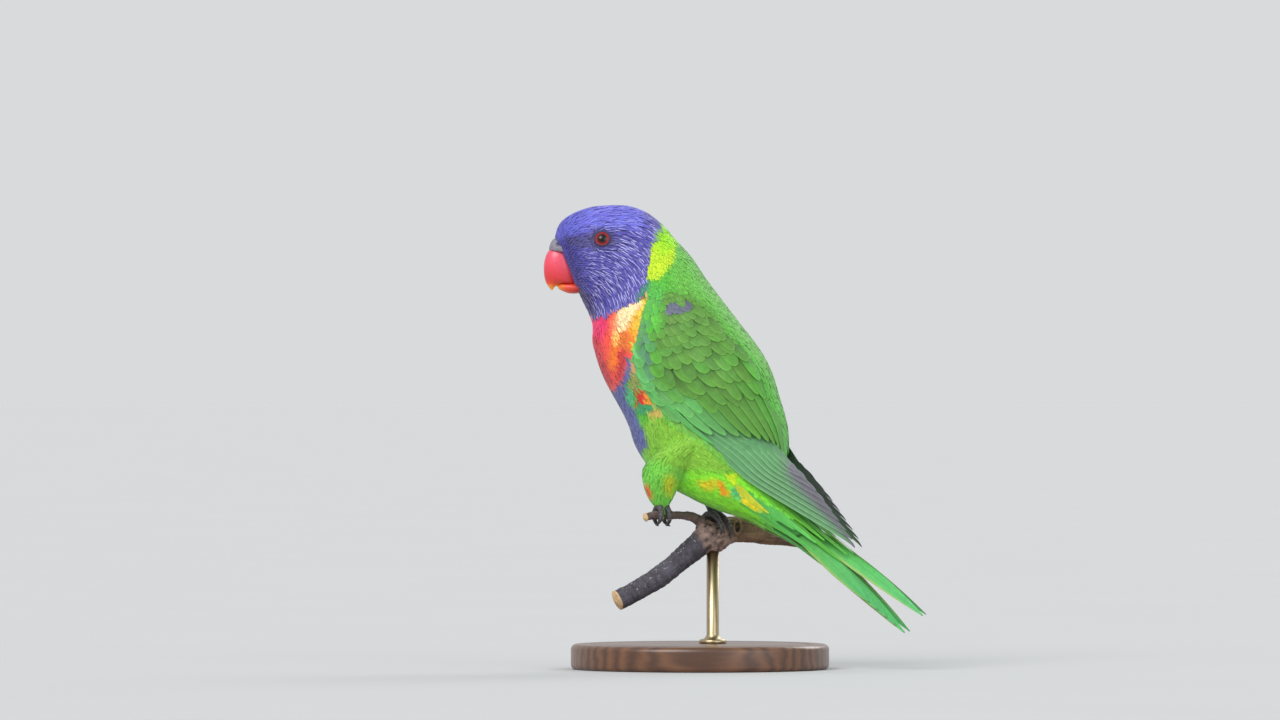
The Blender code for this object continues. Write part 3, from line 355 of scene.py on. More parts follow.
def mesh_piece(name, points, quads, values, material=None, tris=()):
    """Object from millimetre points, quad and triangle index arrays, and named values."""
    mesh = bpy.data.meshes.new(name)
    quads, tris = (np.asarray(faces, np.int32).reshape(-1, size) for faces, size in ((quads, 4), (tris, 3)))
    corners = np.concatenate((quads.ravel(), tris.ravel()))
    starts = np.concatenate((np.arange(len(quads)) * 4, len(quads) * 4 + np.arange(len(tris)) * 3))
    mesh.vertices.add(len(points))
    mesh.vertices.foreach_set("co", (np.asarray(points) * MM).astype(np.float32).ravel())
    mesh.loops.add(len(corners))
    mesh.loops.foreach_set("vertex_index", corners)
    mesh.polygons.add(len(starts))
    mesh.polygons.foreach_set("loop_start", starts.astype(np.int32))
    mesh.update(calc_edges=True)
    write_values(mesh, values)
    mesh.shade_smooth()
    if material:
        mesh.materials.append(material)
    return linked(name, mesh)


def read_values(items, label, width=3, kind=np.float32):
    """Rows of one property of a mesh's vertices, normals, edges or loops."""
    rows = np.zeros(len(items) * width, kind)
    items.foreach_get(label, rows)
    return rows.reshape(-1, width)


def bake_map(piece, u, v):
    """Write the OFBake map from two arrays with a value for each vertex."""
    order = read_values(piece.data.loops, "vertex_index", 1, np.int32)[:, 0]
    write_bake_map(piece, np.stack((u[order], v[order]), axis=1))


def write_bake_map(piece, places):
    piece.data.uv_layers.new(name="OFBake").data.foreach_set("uv", places.astype(np.float32).ravel())


def mark_rims(mesh, across):
    """Keep each feather's rim sharp, so that light on its face doesn't roll over the thin edge."""
    ends = read_values(mesh.edges, "vertices", 2, np.int32)
    layer = mesh.attributes.new("sharp_edge", "BOOLEAN", "EDGE")
    layer.data.foreach_set("value", (np.abs(across[ends]) > 0.99).all(axis=1))


def turn_outward(mesh):
    """Make a closed mesh's faces point outward."""
    work = bmesh.new()
    work.from_mesh(mesh)
    bmesh.ops.recalc_face_normals(work, faces=work.faces)
    work.to_mesh(mesh)
    work.free()


def grid_faces(rows, columns):
    """Quads between the rings of a round sheet."""
    i, j = np.arange(rows - 1)[:, None], np.arange(columns)[None]
    k = (j + 1) % columns
    return np.stack((i * columns + j, i * columns + k, (i + 1) * columns + k,
                     (i + 1) * columns + j), axis=-1).reshape(-1, 4)


def capped(rows, columns):
    """Triangles that close both ends of a round sheet to one point each, added last."""
    j = np.arange(columns)
    k = (j + 1) % columns
    first = np.stack((k, j, np.full(columns, rows * columns)), axis=1)
    base = (rows - 1) * columns
    last = np.stack((base + j, base + k, np.full(columns, rows * columns + 1)), axis=1)
    return np.concatenate((first, last))


def with_ends(rings, ends=None):
    """Rows of all rings and then one for each end, which is the mean of its ring unless given."""
    ends = (rings[0].mean(axis=0), rings[-1].mean(axis=0)) if ends is None else ends
    return np.concatenate((rings.reshape(-1, 3), ends))


def turns(count):
    """Angles of a ring's points, in radians."""
    return np.arange(count) * 2 * math.pi / count


def loft(name, points, shape, values, material):
    """Closed piece through shape[0] rings of shape[1] points, then its two end points."""
    piece = mesh_piece(name, points, grid_faces(*shape), values, material, capped(*shape))
    turn_outward(piece.data)
    return piece


def dressed(piece, slot, *nodes):
    """Fix a finished piece to the body and hide the nodes that it stands for; slot is not used."""
    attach(piece, "root")
    if nodes:
        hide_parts(*nodes)
    return piece


# %% [markdown]
# ## Shared shader effects
# Three effects return on several finishes, so each is a node group with named inputs.
# Barbs draws the fine slanted lines of a vane from each feather's own coordinates.
# Mottle shifts a colour a little lighter and darker, as no feather or skin is one flat colour.
# Pebbles gives the small raised cells of a bird's bare skin.

# %% Node helpers
class Nodes:
    """Adds nodes to a tree. Their inputs, by number or name, take sockets or plain values."""

    def __init__(self, tree):
        self.tree = tree

    def fill(self, made, links):
        for slot, value in dict(links).items():
            if isinstance(value, bpy.types.NodeSocket):
                self.tree.links.new(value, made.inputs[slot])
            else:
                made.inputs[slot].default_value = value

    def add(self, kind, links=(), **settings):
        made = self.tree.nodes.new(kind)
        for key, value in settings.items():
            setattr(made, key, value)
        self.fill(made, links)
        return made

    def math(self, operation, *values):
        return self.add("ShaderNodeMath", enumerate(values), operation=operation).outputs[0]

    def product(self, *values):
        """All the values multiplied, the first two first."""
        first, *rest = values
        for value in rest:
            first = self.math("MULTIPLY", first, value)
        return first

    def vector(self, operation, **links):
        """Vector math; the links are named after the inputs a, b and c, or Scale."""
        slots = {"a": 0, "b": 1, "c": 2}
        return self.add("ShaderNodeVectorMath", {slots.get(k, k): value for k, value in links.items()},
                        operation=operation)

    def split(self, vector):
        """The three parts of a vector."""
        return self.add("ShaderNodeSeparateXYZ", {0: vector}).outputs

    def span(self, value, links, **settings):
        """Map a value from the range in inputs 1 and 2 to the range in 3 and 4."""
        return self.add("ShaderNodeMapRange", {0: value, **links}, **settings).outputs[0]

    def mix(self, factor, first, second):
        """Colour mix; each colour is a socket or a plain colour."""
        first, second = (c if isinstance(c, bpy.types.NodeSocket) else (*c[:3], 1.0) for c in (first, second))
        return self.add("ShaderNodeMix", {0: factor, 6: first, 7: second}, data_type="RGBA").outputs[2]


class Group(Nodes):
    """Node group; its sockets are label, kind and default."""

    def __init__(self, name, inputs, outputs, kind="ShaderNodeTree"):
        super().__init__(bpy.data.node_groups.new(name, kind))
        for way, sockets in (("INPUT", inputs), ("OUTPUT", outputs)):
            for label, socket_kind, *default in sockets:
                socket = self.tree.interface.new_socket(label, in_out=way, socket_type="NodeSocket" + socket_kind)
                if default:
                    socket.default_value = default[0]
        self.inputs = self.add("NodeGroupInput").outputs
        self.leave = self.add("NodeGroupOutput")


class Finish(Nodes):
    """Material; its nodes lead to one Principled shader."""

    def __init__(self, name):
        self.material = bpy.data.materials.new(name)
        self.material.use_nodes = True
        super().__init__(self.material.node_tree)

    def group(self, tree, **values):
        return self.add("ShaderNodeGroup", values, node_tree=tree).outputs

    def attribute(self, name, output="Fac"):
        return self.add("ShaderNodeAttribute", attribute_name=name).outputs[output]

    def place(self):
        return self.add("ShaderNodeTexCoord").outputs["Object"]

    def noise(self, vector, scale, detail):
        return self.add("ShaderNodeTexNoise", {"Vector": vector, "Scale": scale, "Detail": detail}).outputs

    def stretched(self, scale):
        return self.add("ShaderNodeMapping", {"Vector": self.place(), "Scale": scale}).outputs[0]

    def ramp(self, place, stops):
        """Colours along a value, from screen values."""
        made = self.add("ShaderNodeValToRGB", {0: place})
        elements = made.color_ramp.elements
        for k, (spot, shade) in enumerate(stops):
            stop = elements[k] if k < 2 else elements.new(spot)
            stop.position, stop.color = spot, (*tone(*shade), 1.0)
        return made.outputs[0]

    def mottled(self, colour, scale, amount):
        """Colour and mask after Mottle."""
        return self.group(MOTTLE.tree, Color=colour, Scale=scale, Amount=amount)

    def bump(self, height, strength, distance):
        links = {"Strength": strength, "Distance": distance, "Height": height}
        return self.add("ShaderNodeBump", links).outputs[0]

    def finished(self, **values):
        """Fill the shader's inputs, whose names are written with _ for a space; gives the material."""
        self.fill(self.tree.nodes["Principled BSDF"], {k.replace("_", " "): v for k, v in values.items()})
        return self.material


# %% Barbs: slanted fine lines of a vane
BARBS = Group("Barbs", (("Vane", "Vector"), ("Count", "Float", 30.0), ("Slant", "Float", 6.0)),
              (("Height", "Float"), ("Shaft", "Float")))
across, along, facing = BARBS.split(BARBS.inputs["Vane"])
away = BARBS.math("ABSOLUTE", across)
phase = BARBS.math("SUBTRACT", BARBS.product(along, BARBS.inputs["Count"]),
                   BARBS.product(away, BARBS.inputs["Slant"]))
wave = BARBS.math("SINE", BARBS.product(phase, 2 * math.pi))
BARBS.fill(BARBS.leave, {
    "Height": BARBS.math("MULTIPLY_ADD", wave, 0.5, 0.5),
    "Shaft": BARBS.span(away, {1: 0.0, 2: 0.09, 3: 1.0, 4: 0.0}, interpolation_type="SMOOTHSTEP")})

# %% Mottle: slow and fine changes of a colour
MOTTLE = Group("Mottle", (("Color", "Color", (1, 1, 1, 1)), ("Scale", "Float", 300.0), ("Amount", "Float", 0.2)),
               (("Color", "Color"), ("Mask", "Float")))
where = MOTTLE.add("ShaderNodeTexCoord").outputs["Object"]
cloud = MOTTLE.add("ShaderNodeTexNoise", {"Vector": where, "Scale": MOTTLE.inputs["Scale"], "Detail": 4.0})
swing = MOTTLE.product(MOTTLE.math("SUBTRACT", cloud.outputs["Fac"], 0.5), MOTTLE.inputs["Amount"])
gain = MOTTLE.math("ADD", 1.0, MOTTLE.product(swing, 2.0))
MOTTLE.fill(MOTTLE.leave, {"Color": MOTTLE.vector("SCALE", a=MOTTLE.inputs["Color"], Scale=gain).outputs[0],
                           "Mask": cloud.outputs["Fac"]})

# %% Pebbles: raised cells of bare skin
PEBBLES = Group("Pebbles", (("Scale", "Float", 1500.0), ("Seam", "Float", 0.12)),
                (("Height", "Float"), ("Seams", "Float")))
where = PEBBLES.add("ShaderNodeTexCoord").outputs["Object"]
cells = PEBBLES.add("ShaderNodeTexVoronoi", {"Vector": where, "Scale": PEBBLES.inputs["Scale"]},
                    feature="DISTANCE_TO_EDGE")
rise = PEBBLES.span(cells.outputs["Distance"], {2: PEBBLES.inputs["Seam"]}, interpolation_type="SMOOTHSTEP")
PEBBLES.fill(PEBBLES.leave, {"Height": rise, "Seams": PEBBLES.math("SUBTRACT", 1.0, rise)})
print("shader groups:", [g.name for g in bpy.data.node_groups])

# %% [markdown]
# ## Plumage finish
# The base colour is the feather's tint, which the markings wrote on it; it carries the painted shade of roots and
# covered edges.
# Barbs and Mottle break it up, a thin sheen gives the soft glow of down at grazing angles,
# and a low bump from the barbs catches the light. The same maker gives the coat, the wings
# and the tail, each with its own barb count, so that their lines are at the real scale.

# %% Materials for feathers
def plumage_finish(name, count, slant, roughness, bump, shaft_shade=None):
    made = Finish(name)
    lines = made.group(BARBS.tree, Vane=made.attribute("vane", "Vector"), Count=count, Slant=slant)
    tint = made.mottled(made.attribute("tint", "Color"), 420.0, 0.22)["Color"]
    lined = made.mix(made.product(lines["Height"], 0.20), tint, (0.0, 0.0, 0.0))
    if shaft_shade:
        lined = made.mix(made.product(lines["Shaft"], 0.30), lined, shaft_shade)
    return made.finished(Base_Color=lined, Normal=made.bump(lines["Height"], bump, 0.00012), Roughness=roughness,
                         Specular_IOR_Level=0.32, Sheen_Weight=0.18, Sheen_Roughness=0.45)


coat_finish = plumage_finish("coat_plumage", 34.0, 11.0, 0.66, 0.22)
flight_finish = plumage_finish("flight_plumage", 110.0, 9.0, 0.50, 0.30, (0.03, 0.06, 0.03))
tail_finish = plumage_finish("tail_plumage", 120.0, 9.0, 0.46, 0.35, (0.04, 0.09, 0.03))
print("plumage finishes made")

# %% [markdown]
# ## The skin
# One closed skin runs under all the body feathers, a little inside the outline, so that no
# seam shows where the solid head, neck and torso meet. It carries the same markings, darker:
# partly as feather bases are, partly as painted shade in the gaps, so what shows between two feathers looks like the
# feathers' own shaded roots.

# %% Skin of the body
SKIN_SHAPE = SKIN_ROWS, SKIN_COLUMNS = 150, 96


def skin_lift(t, angle):
    """Depth of the skin under the outline: thin on the face, deeper under the folded wings."""
    down = folded(angle)
    wing = ramp(t, 10.0, 11.0) * ramp(-t, -19.5, -18.0) * ramp(down, 25, 40) * ramp(-down, -120, -100)
    return -(0.75 + 0.15 * ramp(t, 2.0, 9.0)) - 0.5 * wing


def skin_piece(name, surface, t_from, t_to, shape, lift, shade, marked_at=None):
    """Closed skin under a surface; its markings are those at t, or all at marked_at."""
    t, angle = np.broadcast_arrays(np.linspace(t_from, t_to, shape[0])[:, None],
                                   np.arange(shape[1])[None] * 360.0 / shape[1])
    points = surface(t, angle, lift(t, angle))[0]
    # shade darkens the markings: partly as feather bases are darker, partly as painted shade in the gaps between
    # feathers.
    colour = markings(*seen_from_left(points), t if marked_at is None else marked_at, angle) * shade
    values = {"tint": with_ends(colour), "vane": np.zeros((points.shape[0] * points.shape[1] + 2, 3))}
    return loft(name, posed(with_ends(points)), shape, values, coat_finish)


def map_skin(piece):
    """Unroll the skin over the bake map; faces that cross the seam reach its far side."""
    order = read_values(piece.data.loops, "vertex_index", 1, np.int32)[:, 0]
    row, column = np.minimum(order // SKIN_COLUMNS, SKIN_ROWS - 1), order % SKIN_COLUMNS
    faces = column[:(SKIN_ROWS - 1) * SKIN_COLUMNS * 4].reshape(-1, 4)
    faces[(np.ptp(faces, axis=1) > SKIN_COLUMNS / 2)[:, None] & (faces == 0)] = SKIN_COLUMNS
    write_bake_map(piece, np.stack((0.02 + 0.96 * column / SKIN_COLUMNS, 0.02 + 0.96 * row / SKIN_ROWS), axis=1))


# The skin's markings at half brightness: darker feather bases and painted shade between the feathers.
skin = skin_piece("skin", body, 0.0, LAST - 1e-3, SKIN_SHAPE, skin_lift, 0.5)
map_skin(skin)
print("skin:", len(skin.data.polygons), "faces")

# %% [markdown]
# ## Where feathers grow
# Feathers grow evenly, but neither in rows nor at random. Darts are thrown at the surface and
# one is kept only if no kept dart is nearer than the wanted spacing, which is small on the
# face and larger on the body. A fixed seed gives the same bird every time.

# %% Scatter roots over a surface
NEIGHBOURS = [(x, y, z) for x in (-1, 0, 1) for y in (-1, 0, 1) for z in (-1, 0, 1)]


def too_near(p, q, gap):
    x, y, z = p[0] - q[0], p[1] - q[1], p[2] - q[2]
    return x * x + y * y + z * z < gap * gap


def scatter(surface, t_from, t_to, spacing, seed, tries):
    """Places (t, angle) at least spacing apart; spacing is a function of t and angle, in mm."""
    draw = np.random.default_rng(seed)
    t = draw.uniform(t_from, t_to, tries)
    angle = draw.uniform(0.0, 360.0, tries)
    along = surface(t + T_STEP, angle)[0] - surface(t - T_STEP, angle)[0]
    across = surface(t, angle + ANGLE_STEP)[0] - surface(t, angle - ANGLE_STEP)[0]
    gap = spacing(t, angle)
    weight = np.linalg.norm(np.cross(along, across), axis=1) / gap ** 2
    keep = draw.uniform(0.0, 1.0, tries) < weight / np.quantile(weight, 0.98)
    t, angle, gap = t[keep], angle[keep], gap[keep]
    points = surface(t, angle)[0]
    cells = np.floor(points / gap.max()).astype(int).tolist()
    points, kept, taken = points.tolist(), {}, []
    for i, ((x, y, z), p, g) in enumerate(zip(cells, points, gap.tolist())):
        near = (j for dx, dy, dz in NEIGHBOURS for j in kept.get((x + dx, y + dy, z + dz), ()))
        if not any(too_near(points[j], p, g) for j in near):
            kept.setdefault((x, y, z), []).append(i)
            taken.append(i)
    return t[taken], angle[taken]


# %% [markdown]
# ## One blade, used thousands of times
# A contour feather is a thin, cupped blade with a narrow, slightly ragged tip.
# A few blades of unit size are modelled once, and each keeps its own coordinates:
# place across the vane, and place from root to tip.

# %% Blades
def blade(name, rows, columns, outline, camber, thick, seed):
    """Closed blade one unit long and one unit in half-width, lying along +Y."""
    ragged = 0.12
    draw = np.random.default_rng(seed)
    s, across = np.asarray(rows), np.linspace(-1.0, 1.0, columns)
    half = np.interp(s, *np.array(outline).T)
    rough = 1.0 + ragged * draw.uniform(-1.0, 1.0, (len(s), 2)) * ramp(s, 0.35, 0.7)[:, None]
    points, places = [], []
    for face, chosen in ((1, across), (-1, across[-2:0:-1])):
        for w in chosen:
            edge = rough[:, int(w > 0)] if abs(w) > 0.99 else 1.0
            y = s * (1.0 - ragged * 0.35 * abs(w) ** 3 * s ** 4)
            z = -camber * (w * half) ** 2 + face * thick * (1 - w ** 2) * (1 - 0.6 * s)
            points.append(np.stack((w * (half * edge), y, z + 0.05 * (1 - abs(w)) * (1 - s)), axis=1))
            places.append(np.stack(np.broadcast_arrays(w, s, float(face)), axis=1))
    ring = len(points)
    points, places = (np.stack(part, axis=1).reshape(-1, 3) for part in (points, places))
    caps = [list(range(k * ring, (k + 1) * ring)) for k in (0, len(s) - 1)]
    mesh = bpy.data.meshes.new(name)
    mesh.from_pydata(points.tolist(), [], grid_faces(len(s), ring).tolist() + caps)
    write_values(mesh, {"vane": places})
    turn_outward(mesh)
    mark_rims(mesh, places[:, 0])
    return bpy.data.objects.new(name, mesh)


def blade_set(name, count, *shape):
    """Collection of blades that differ in their ragged edges."""
    group = bpy.data.collections.new(name)
    for k in range(count):
        group.objects.link(blade("%s_%d" % (name, k), *shape, 11 + k))
    return group


# Half-width from root to tip
HACKLE = ((0.0, 0.5), (0.25, 0.9), (0.55, 1.0), (0.8, 0.68), (0.93, 0.36), (1.0, 0.10))
CONTOUR = ((0.0, 0.4), (0.25, 0.85), (0.55, 1.0), (0.8, 0.80), (0.93, 0.48), (1.0, 0.14))
body_blades = blade_set("body_blade", 6, (0.0, 0.30, 0.58, 0.80, 0.93, 1.0), 3, CONTOUR, 0.08, 0.05)
head_blades = blade_set("head_blade", 5, (0.0, 0.30, 0.58, 0.80, 0.94, 1.0), 5, HACKLE, 0.10, 0.07)

# %% [markdown]
# ## Geometry Nodes grow the coat
# A mesh of bare points carries one feather's values at each point: the way out of the body,
# the way it lies, its size, how much the body curves under it, and its three tints.
# The tree puts a blade on each point, bends it over the body, mixes the tints along it,
# writes the bake map as a small patch at the root's place, and realizes the instances.

# %% The coat tree
class GeometryGroup(Group):
    """Geometry Nodes group that ends by giving the geometry its material."""

    def __init__(self, name, *inputs):
        geometry = ("Geometry", "Geometry")
        super().__init__(name, (geometry, *inputs, ("Material", "Material")), (geometry,), "GeometryNodeTree")

    def attribute(self, name, kind="FLOAT_VECTOR"):
        return self.add("GeometryNodeInputNamedAttribute", {0: name}, data_type=kind).outputs[0]

    def moved(self, geometry, direction, distance):
        push = self.vector("SCALE", a=direction, Scale=distance).outputs[0]
        return self.add("GeometryNodeSetPosition", {0: geometry, 3: push}).outputs[0]

    def stored(self, geometry, name, value, kind, domain="POINT"):
        return self.add("GeometryNodeStoreNamedAttribute", {0: geometry, 2: name, 3: value},
                        data_type=kind, domain=domain).outputs[0]

    def realized(self, geometry):
        return self.add("GeometryNodeRealizeInstances", {0: geometry}).outputs[0]

    def give(self, geometry):
        dressed_up = self.add("GeometryNodeSetMaterial", {0: geometry, 2: self.inputs["Material"]})
        self.fill(self.leave, {0: dressed_up.outputs[0]})
        return self.tree


def coat_tree():
    g = GeometryGroup("Coat", ("Blades", "Collection"), ("Seed", "Int", 1), ("Patch", "Float", 0.003))
    out, patch = g.attribute("out"), g.inputs["Patch"]
    blades = g.add("GeometryNodeCollectionInfo", {0: g.inputs["Blades"], 1: True, 2: True})
    turn = g.add("FunctionNodeAxesToRotation", {0: out, 1: g.attribute("lie")}, primary_axis="Z", secondary_axis="Y")
    pick = g.add("FunctionNodeRandomValue", {4: 0, 5: 64, "Seed": g.inputs["Seed"]}, data_type="INT")
    placed = g.add("GeometryNodeInstanceOnPoints", {
        0: g.inputs["Geometry"], 2: blades.outputs[0], 3: True, 4: pick.outputs[2], 5: turn.outputs[0],
        6: g.attribute("size")})
    across, along, face = g.split(g.attribute("vane"))
    # The middle sags or humps as the body does, and the tip rises
    hump = g.product(along, g.math("SUBTRACT", 1.0, along), 4.0)
    lifted = g.math("SUBTRACT", along, g.product(g.math("POWER", along, 4.0), 0.3))
    push = g.math("ADD", g.product(hump, g.attribute("sag", "FLOAT")), g.product(lifted, g.attribute("rise", "FLOAT")))
    bent = g.moved(g.realized(placed.outputs[0]), out, push)
    # Root tint to tip tint, and the shaft's tint along the middle; the root tint is darker, partly the greyer base and
    # partly painted shade
    toward_tip = g.span(along, {1: 0.35, 2: 0.95}, interpolation_type="SMOOTHSTEP")
    root, tip, shaft = (g.attribute("tint_" + part, "FLOAT_COLOR") for part in ("root", "tip", "shaft"))
    middle = g.span(g.math("ABSOLUTE", across), {1: 0.0, 2: 0.45, 3: 1.0, 4: 0.0})
    tint = g.mix(middle, g.mix(toward_tip, root, tip), shaft)
    tinted = g.stored(bent, "tint", tint, "FLOAT_COLOR")
    local = g.add("ShaderNodeCombineXYZ", {0: g.product(across, g.product(patch, 0.5)),
                                           1: g.product(g.math("SUBTRACT", along, 0.5), patch)})
    spot = g.vector("ADD", a=g.attribute("root_place"), b=local.outputs[0]).outputs[0]
    mapped = g.stored(tinted, "OFBake", spot, "FLOAT2", "CORNER")
    return g.give(g.add("GeometryNodeSetShadeSmooth", {0: mapped}).outputs[0])


COAT = coat_tree()
VALUES = ("out", "lie", "size", "root_place", "sag", "rise", "tint_root", "tint_tip", "tint_shaft")


def add_tree(piece, tree, **values):
    """Geometry Nodes modifier on a piece, with the tree's inputs filled."""
    modifier = piece.modifiers.new(tree.name, "NODES")
    modifier.node_group = tree
    for socket in tree.interface.items_tree:
        if socket.name in values:
            modifier[socket.identifier] = values[socket.name]


def realized(holder, name, drop):
    """Plain mesh object from the holder's modifiers, without the named values; the holder goes."""
    bpy.context.view_layer.update()
    graph = bpy.context.evaluated_depsgraph_get()
    mesh = bpy.data.meshes.new_from_object(holder.evaluated_get(graph), preserve_all_data_layers=True,
                                           depsgraph=graph)
    mesh.name = name
    bpy.data.objects.remove(holder, do_unlink=True)
    for label in drop:
        if label in mesh.attributes:
            mesh.attributes.remove(mesh.attributes[label])
    return linked(name, mesh)


def grow_coat(name, table, blades, slot, seed, parts=1):
    """Coat pieces from a table of feather values, dealt out so that each stays under the limit."""
    for k in range(parts):
        label = name if parts == 1 else "%s_%d" % (name, k + 1)
        values = {key: table[key][k::parts] for key in VALUES}
        roots = mesh_piece(label + "_points", table["at"][k::parts], (), values)
        add_tree(roots, COAT, Blades=blades, Seed=seed + k, Patch=0.003, Material=coat_finish)
        dressed(realized(roots, label, VALUES), slot)


# %% [markdown]
# ## From a root to a feather
# For each root the script finds where the tip would lie on the body, and the point half way.
# The straight line from root to tip gives the lie, and how far the half-way point stands above
# that line gives the bend. Round the eye the lie is turned aside, as it is on the bird.

# %% Feather table
def middle_of(name):
    return np.array([sum(c) / 2 for c in zip(*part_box(name))]) / MM


def eye_axis(side):
    """Centre of an eye and the way it looks, from the solids of the eye and its lid."""
    eye = middle_of("eye_" + side)
    return eye, unit(middle_of("eyelid_" + side) - eye)


EYES = eye_axis("left"), eye_axis("right")
EYE_CLEAR = 4.7


def round_the_eye(root, normal, lie, side, centre, look):
    """Lie turned aside near an eye, and how near each root is, 0 to 1."""
    world = posed(root)
    flat = world - centre
    flat = flat - look * dot(flat, look)
    away = np.linalg.norm(flat, axis=1)
    facing = dot(posed(root + normal) - world, look)[:, 0] > 0.2
    toward = -dot(unit(flat), posed(root + lie) - world)[:, 0]
    near = np.exp(-((np.maximum(away - EYE_CLEAR, 0.0)) / 3.0) ** 2) * facing
    turn = np.clip(toward, 0.0, 1.0) * near
    sign = np.where(dot(flat, posed(root + side) - world)[:, 0] >= 0, 1.0, -1.0)
    return unit(lie * (1 - turn[:, None]) + side * (sign * turn)[:, None]), near


def feather_table(surface, t, angle, length, half, rise, seed, depth, place, spread, eyes=(), turn=0.0):
    """Values of feathers rooted at (t, angle) on a surface, lying toward growing t."""
    draw = np.random.default_rng(seed)
    n = len(t)
    root = surface(t, angle, depth)[0]
    normal = surface(t, angle)[1]
    along = (surface(t + 0.03, angle)[0] - surface(t - 0.03, angle)[0]) / 0.06
    across = (surface(t, angle + 1.0)[0] - surface(t, angle - 1.0)[0]) / 2.0
    lie = unit(along)
    yaw = np.radians(draw.normal(0.0, spread, n) + turn)[:, None]
    side = unit(np.cross(normal, lie))
    lie = lie * np.cos(yaw) + side * np.sin(yaw)
    length = length * draw.uniform(0.86, 1.14, n)
    half = half * draw.uniform(0.88, 1.12, n)
    for centre, look in eyes:
        lie, near = round_the_eye(root, normal, lie, side, centre, look)
        length, half = length * (1 - 0.55 * near), half * (1 - 0.35 * near)
    # Steps of t and angle that go one millimetre along the lie
    aa, ab, bb, la, lb = (dot(*pair)[:, 0] for pair in ((along, along), (along, across), (across, across),
                                                        (lie, along), (lie, across)))
    det = aa * bb - ab * ab
    dt, da = (la * bb - lb * ab) / det, (lb * aa - la * ab) / det

    def ahead(part, lift=0.0):
        """Surface point at a part of the feather's length."""
        return surface(t + dt * length * part, angle + da * length * part, lift)[0]

    half_way = ahead(0.5, depth)
    w_root, w_tip, w_mid = posed(root), posed(ahead(1.0, depth)), posed(half_way)
    way = w_tip - w_root
    flat_lie = unit(way)
    out = unit(posed(half_way + normal * 0.5) - w_mid)
    out = unit(out - flat_lie * dot(out, flat_lie))
    sag = dot(w_mid - (w_root + w_tip) / 2, out)[:, 0]
    tilt = np.radians(draw.normal(0.0, 1.6, n))[:, None]
    out = unit(out * np.cos(tilt) + np.cross(flat_lie, out) * np.sin(tilt))
    size = np.stack((half, np.linalg.norm(way, axis=1), half * 0.9), axis=1)
    return {"at": w_root, "out": out, "lie": flat_lie, "sag": sag * MM, "size": size * MM,
            "rise": rise * draw.uniform(0.88, 1.12, n) * MM, "root_place": place, "shown": ahead(0.7),
            "shown_t": t + dt * length * 0.7, "shown_angle": angle + da * length * 0.7}


def brighter(colour, u, v, draw):
    return colour * 1.08


def paint(table, seed, jitter, root_shade, shaft=brighter, tip_gain=1.0, vary=0.07, soft=1.4):
    """Add the three tints of each feather, from the markings at a slightly shifted place."""
    draw = np.random.default_rng(seed)
    n = len(table["at"])
    u, v = seen_from_left(table["shown"])
    shift_u, shift_v = draw.normal(0.0, jitter, (n, 2)).T
    colour = markings(u + shift_u, v + shift_v, table["shown_t"], table["shown_angle"], soft)
    colour = colour * draw.normal(1.0, vary, (n, 1)) * draw.normal(1.0, vary * 0.35, (n, 3))
    # tint_root is darker by root_shade: partly the feather's greyer base, partly painted shade under the feathers that
    # lie over it.
    table.update(tint_tip=colour * tip_gain, tint_root=colour * root_shade, tint_shaft=shaft(colour, u, v, draw))


print("eyes at", [tuple(np.round(e[0], 1)) for e in EYES])

# %% [markdown]
# ## The outlines of the folded wings
# The wing's top edge runs beside the spine and its low edge is seen in the drawing, so one is
# kept as places on the body and the other is looked up on the body from the drawing.
# Between the two, a place on the wing is how far it is along it and how far across.

# %% Wing places
WING_LOW = ((655, 297), (646, 303), (641, 320), (637, 337), (633, 352), (634, 367), (641, 385),
            (651, 398), (663, 408), (676, 421), (690, 433), (705, 445), (720, 457), (733, 469))
WING_TOP = np.array(((9.75, 60), (10.2, 50), (10.85, 42), (11.6, 35), (12.5, 30), (13.4, 26),
                     (14.4, 22.5), (15.4, 19.5), (16.3, 17), (17.2, 15), (18.05, 13.5), (18.8, 12.5)))


def looked_up(u, v):
    """Place on the left side of the body that shows at a grid place, from a search that zooms in."""
    t, angle, wide_t, wide_a = 15.0, 85.0, 7.0, 80.0
    yaw = math.radians(BODY_YAW)
    for zoom in range(7):
        tt, aa = np.meshgrid(np.linspace(t - wide_t, t + wide_t, 41),
                             np.linspace(max(angle - wide_a, 1.0), min(angle + wide_a, 179.0), 41))
        tt = np.clip(tt, 8.5, LAST - 0.01)
        p = body(tt, aa)[0]
        uu = (p[..., 0] * math.cos(yaw) + p[..., 1] * math.sin(yaw)) / GRID + DRAW_U
        off = (uu - u) ** 2 + (DRAW_V - p[..., 2] / GRID - v) ** 2
        best = np.unravel_index(np.argmin(off), off.shape)
        t, angle = tt[best], aa[best]
        wide_t, wide_a = wide_t * 0.2, wide_a * 0.2
    return t, angle


WING_LOW_PLACES = np.array([looked_up(u, v) for u, v in WING_LOW])


def wing_place(a, v):
    """Body place of the wing at a along it and v across it, 0 being the top edge."""
    a, v = np.broadcast_arrays(np.asarray(a, float), v)
    ends = []
    for table in (WING_TOP, WING_LOW_PLACES):
        x = np.clip(a * (len(table) - 1), -0.8, len(table) - 1.0)
        i = np.clip(np.floor(x).astype(int), 0, len(table) - 2)
        ends.append(table[i] + (table[i + 1] - table[i]) * (x - i)[..., None])
    both = ends[0] + (ends[1] - ends[0]) * v[..., None]
    return both[..., 0], both[..., 1]


def wing_surface(a, v, lift=0.0):
    return body(*wing_place(a, v), lift)


def wing_width(a):
    top, middle, low = wing_surface(a, np.array([0.02, 0.5, 0.98]))[0]
    return np.linalg.norm(top - middle) + np.linalg.norm(low - middle)


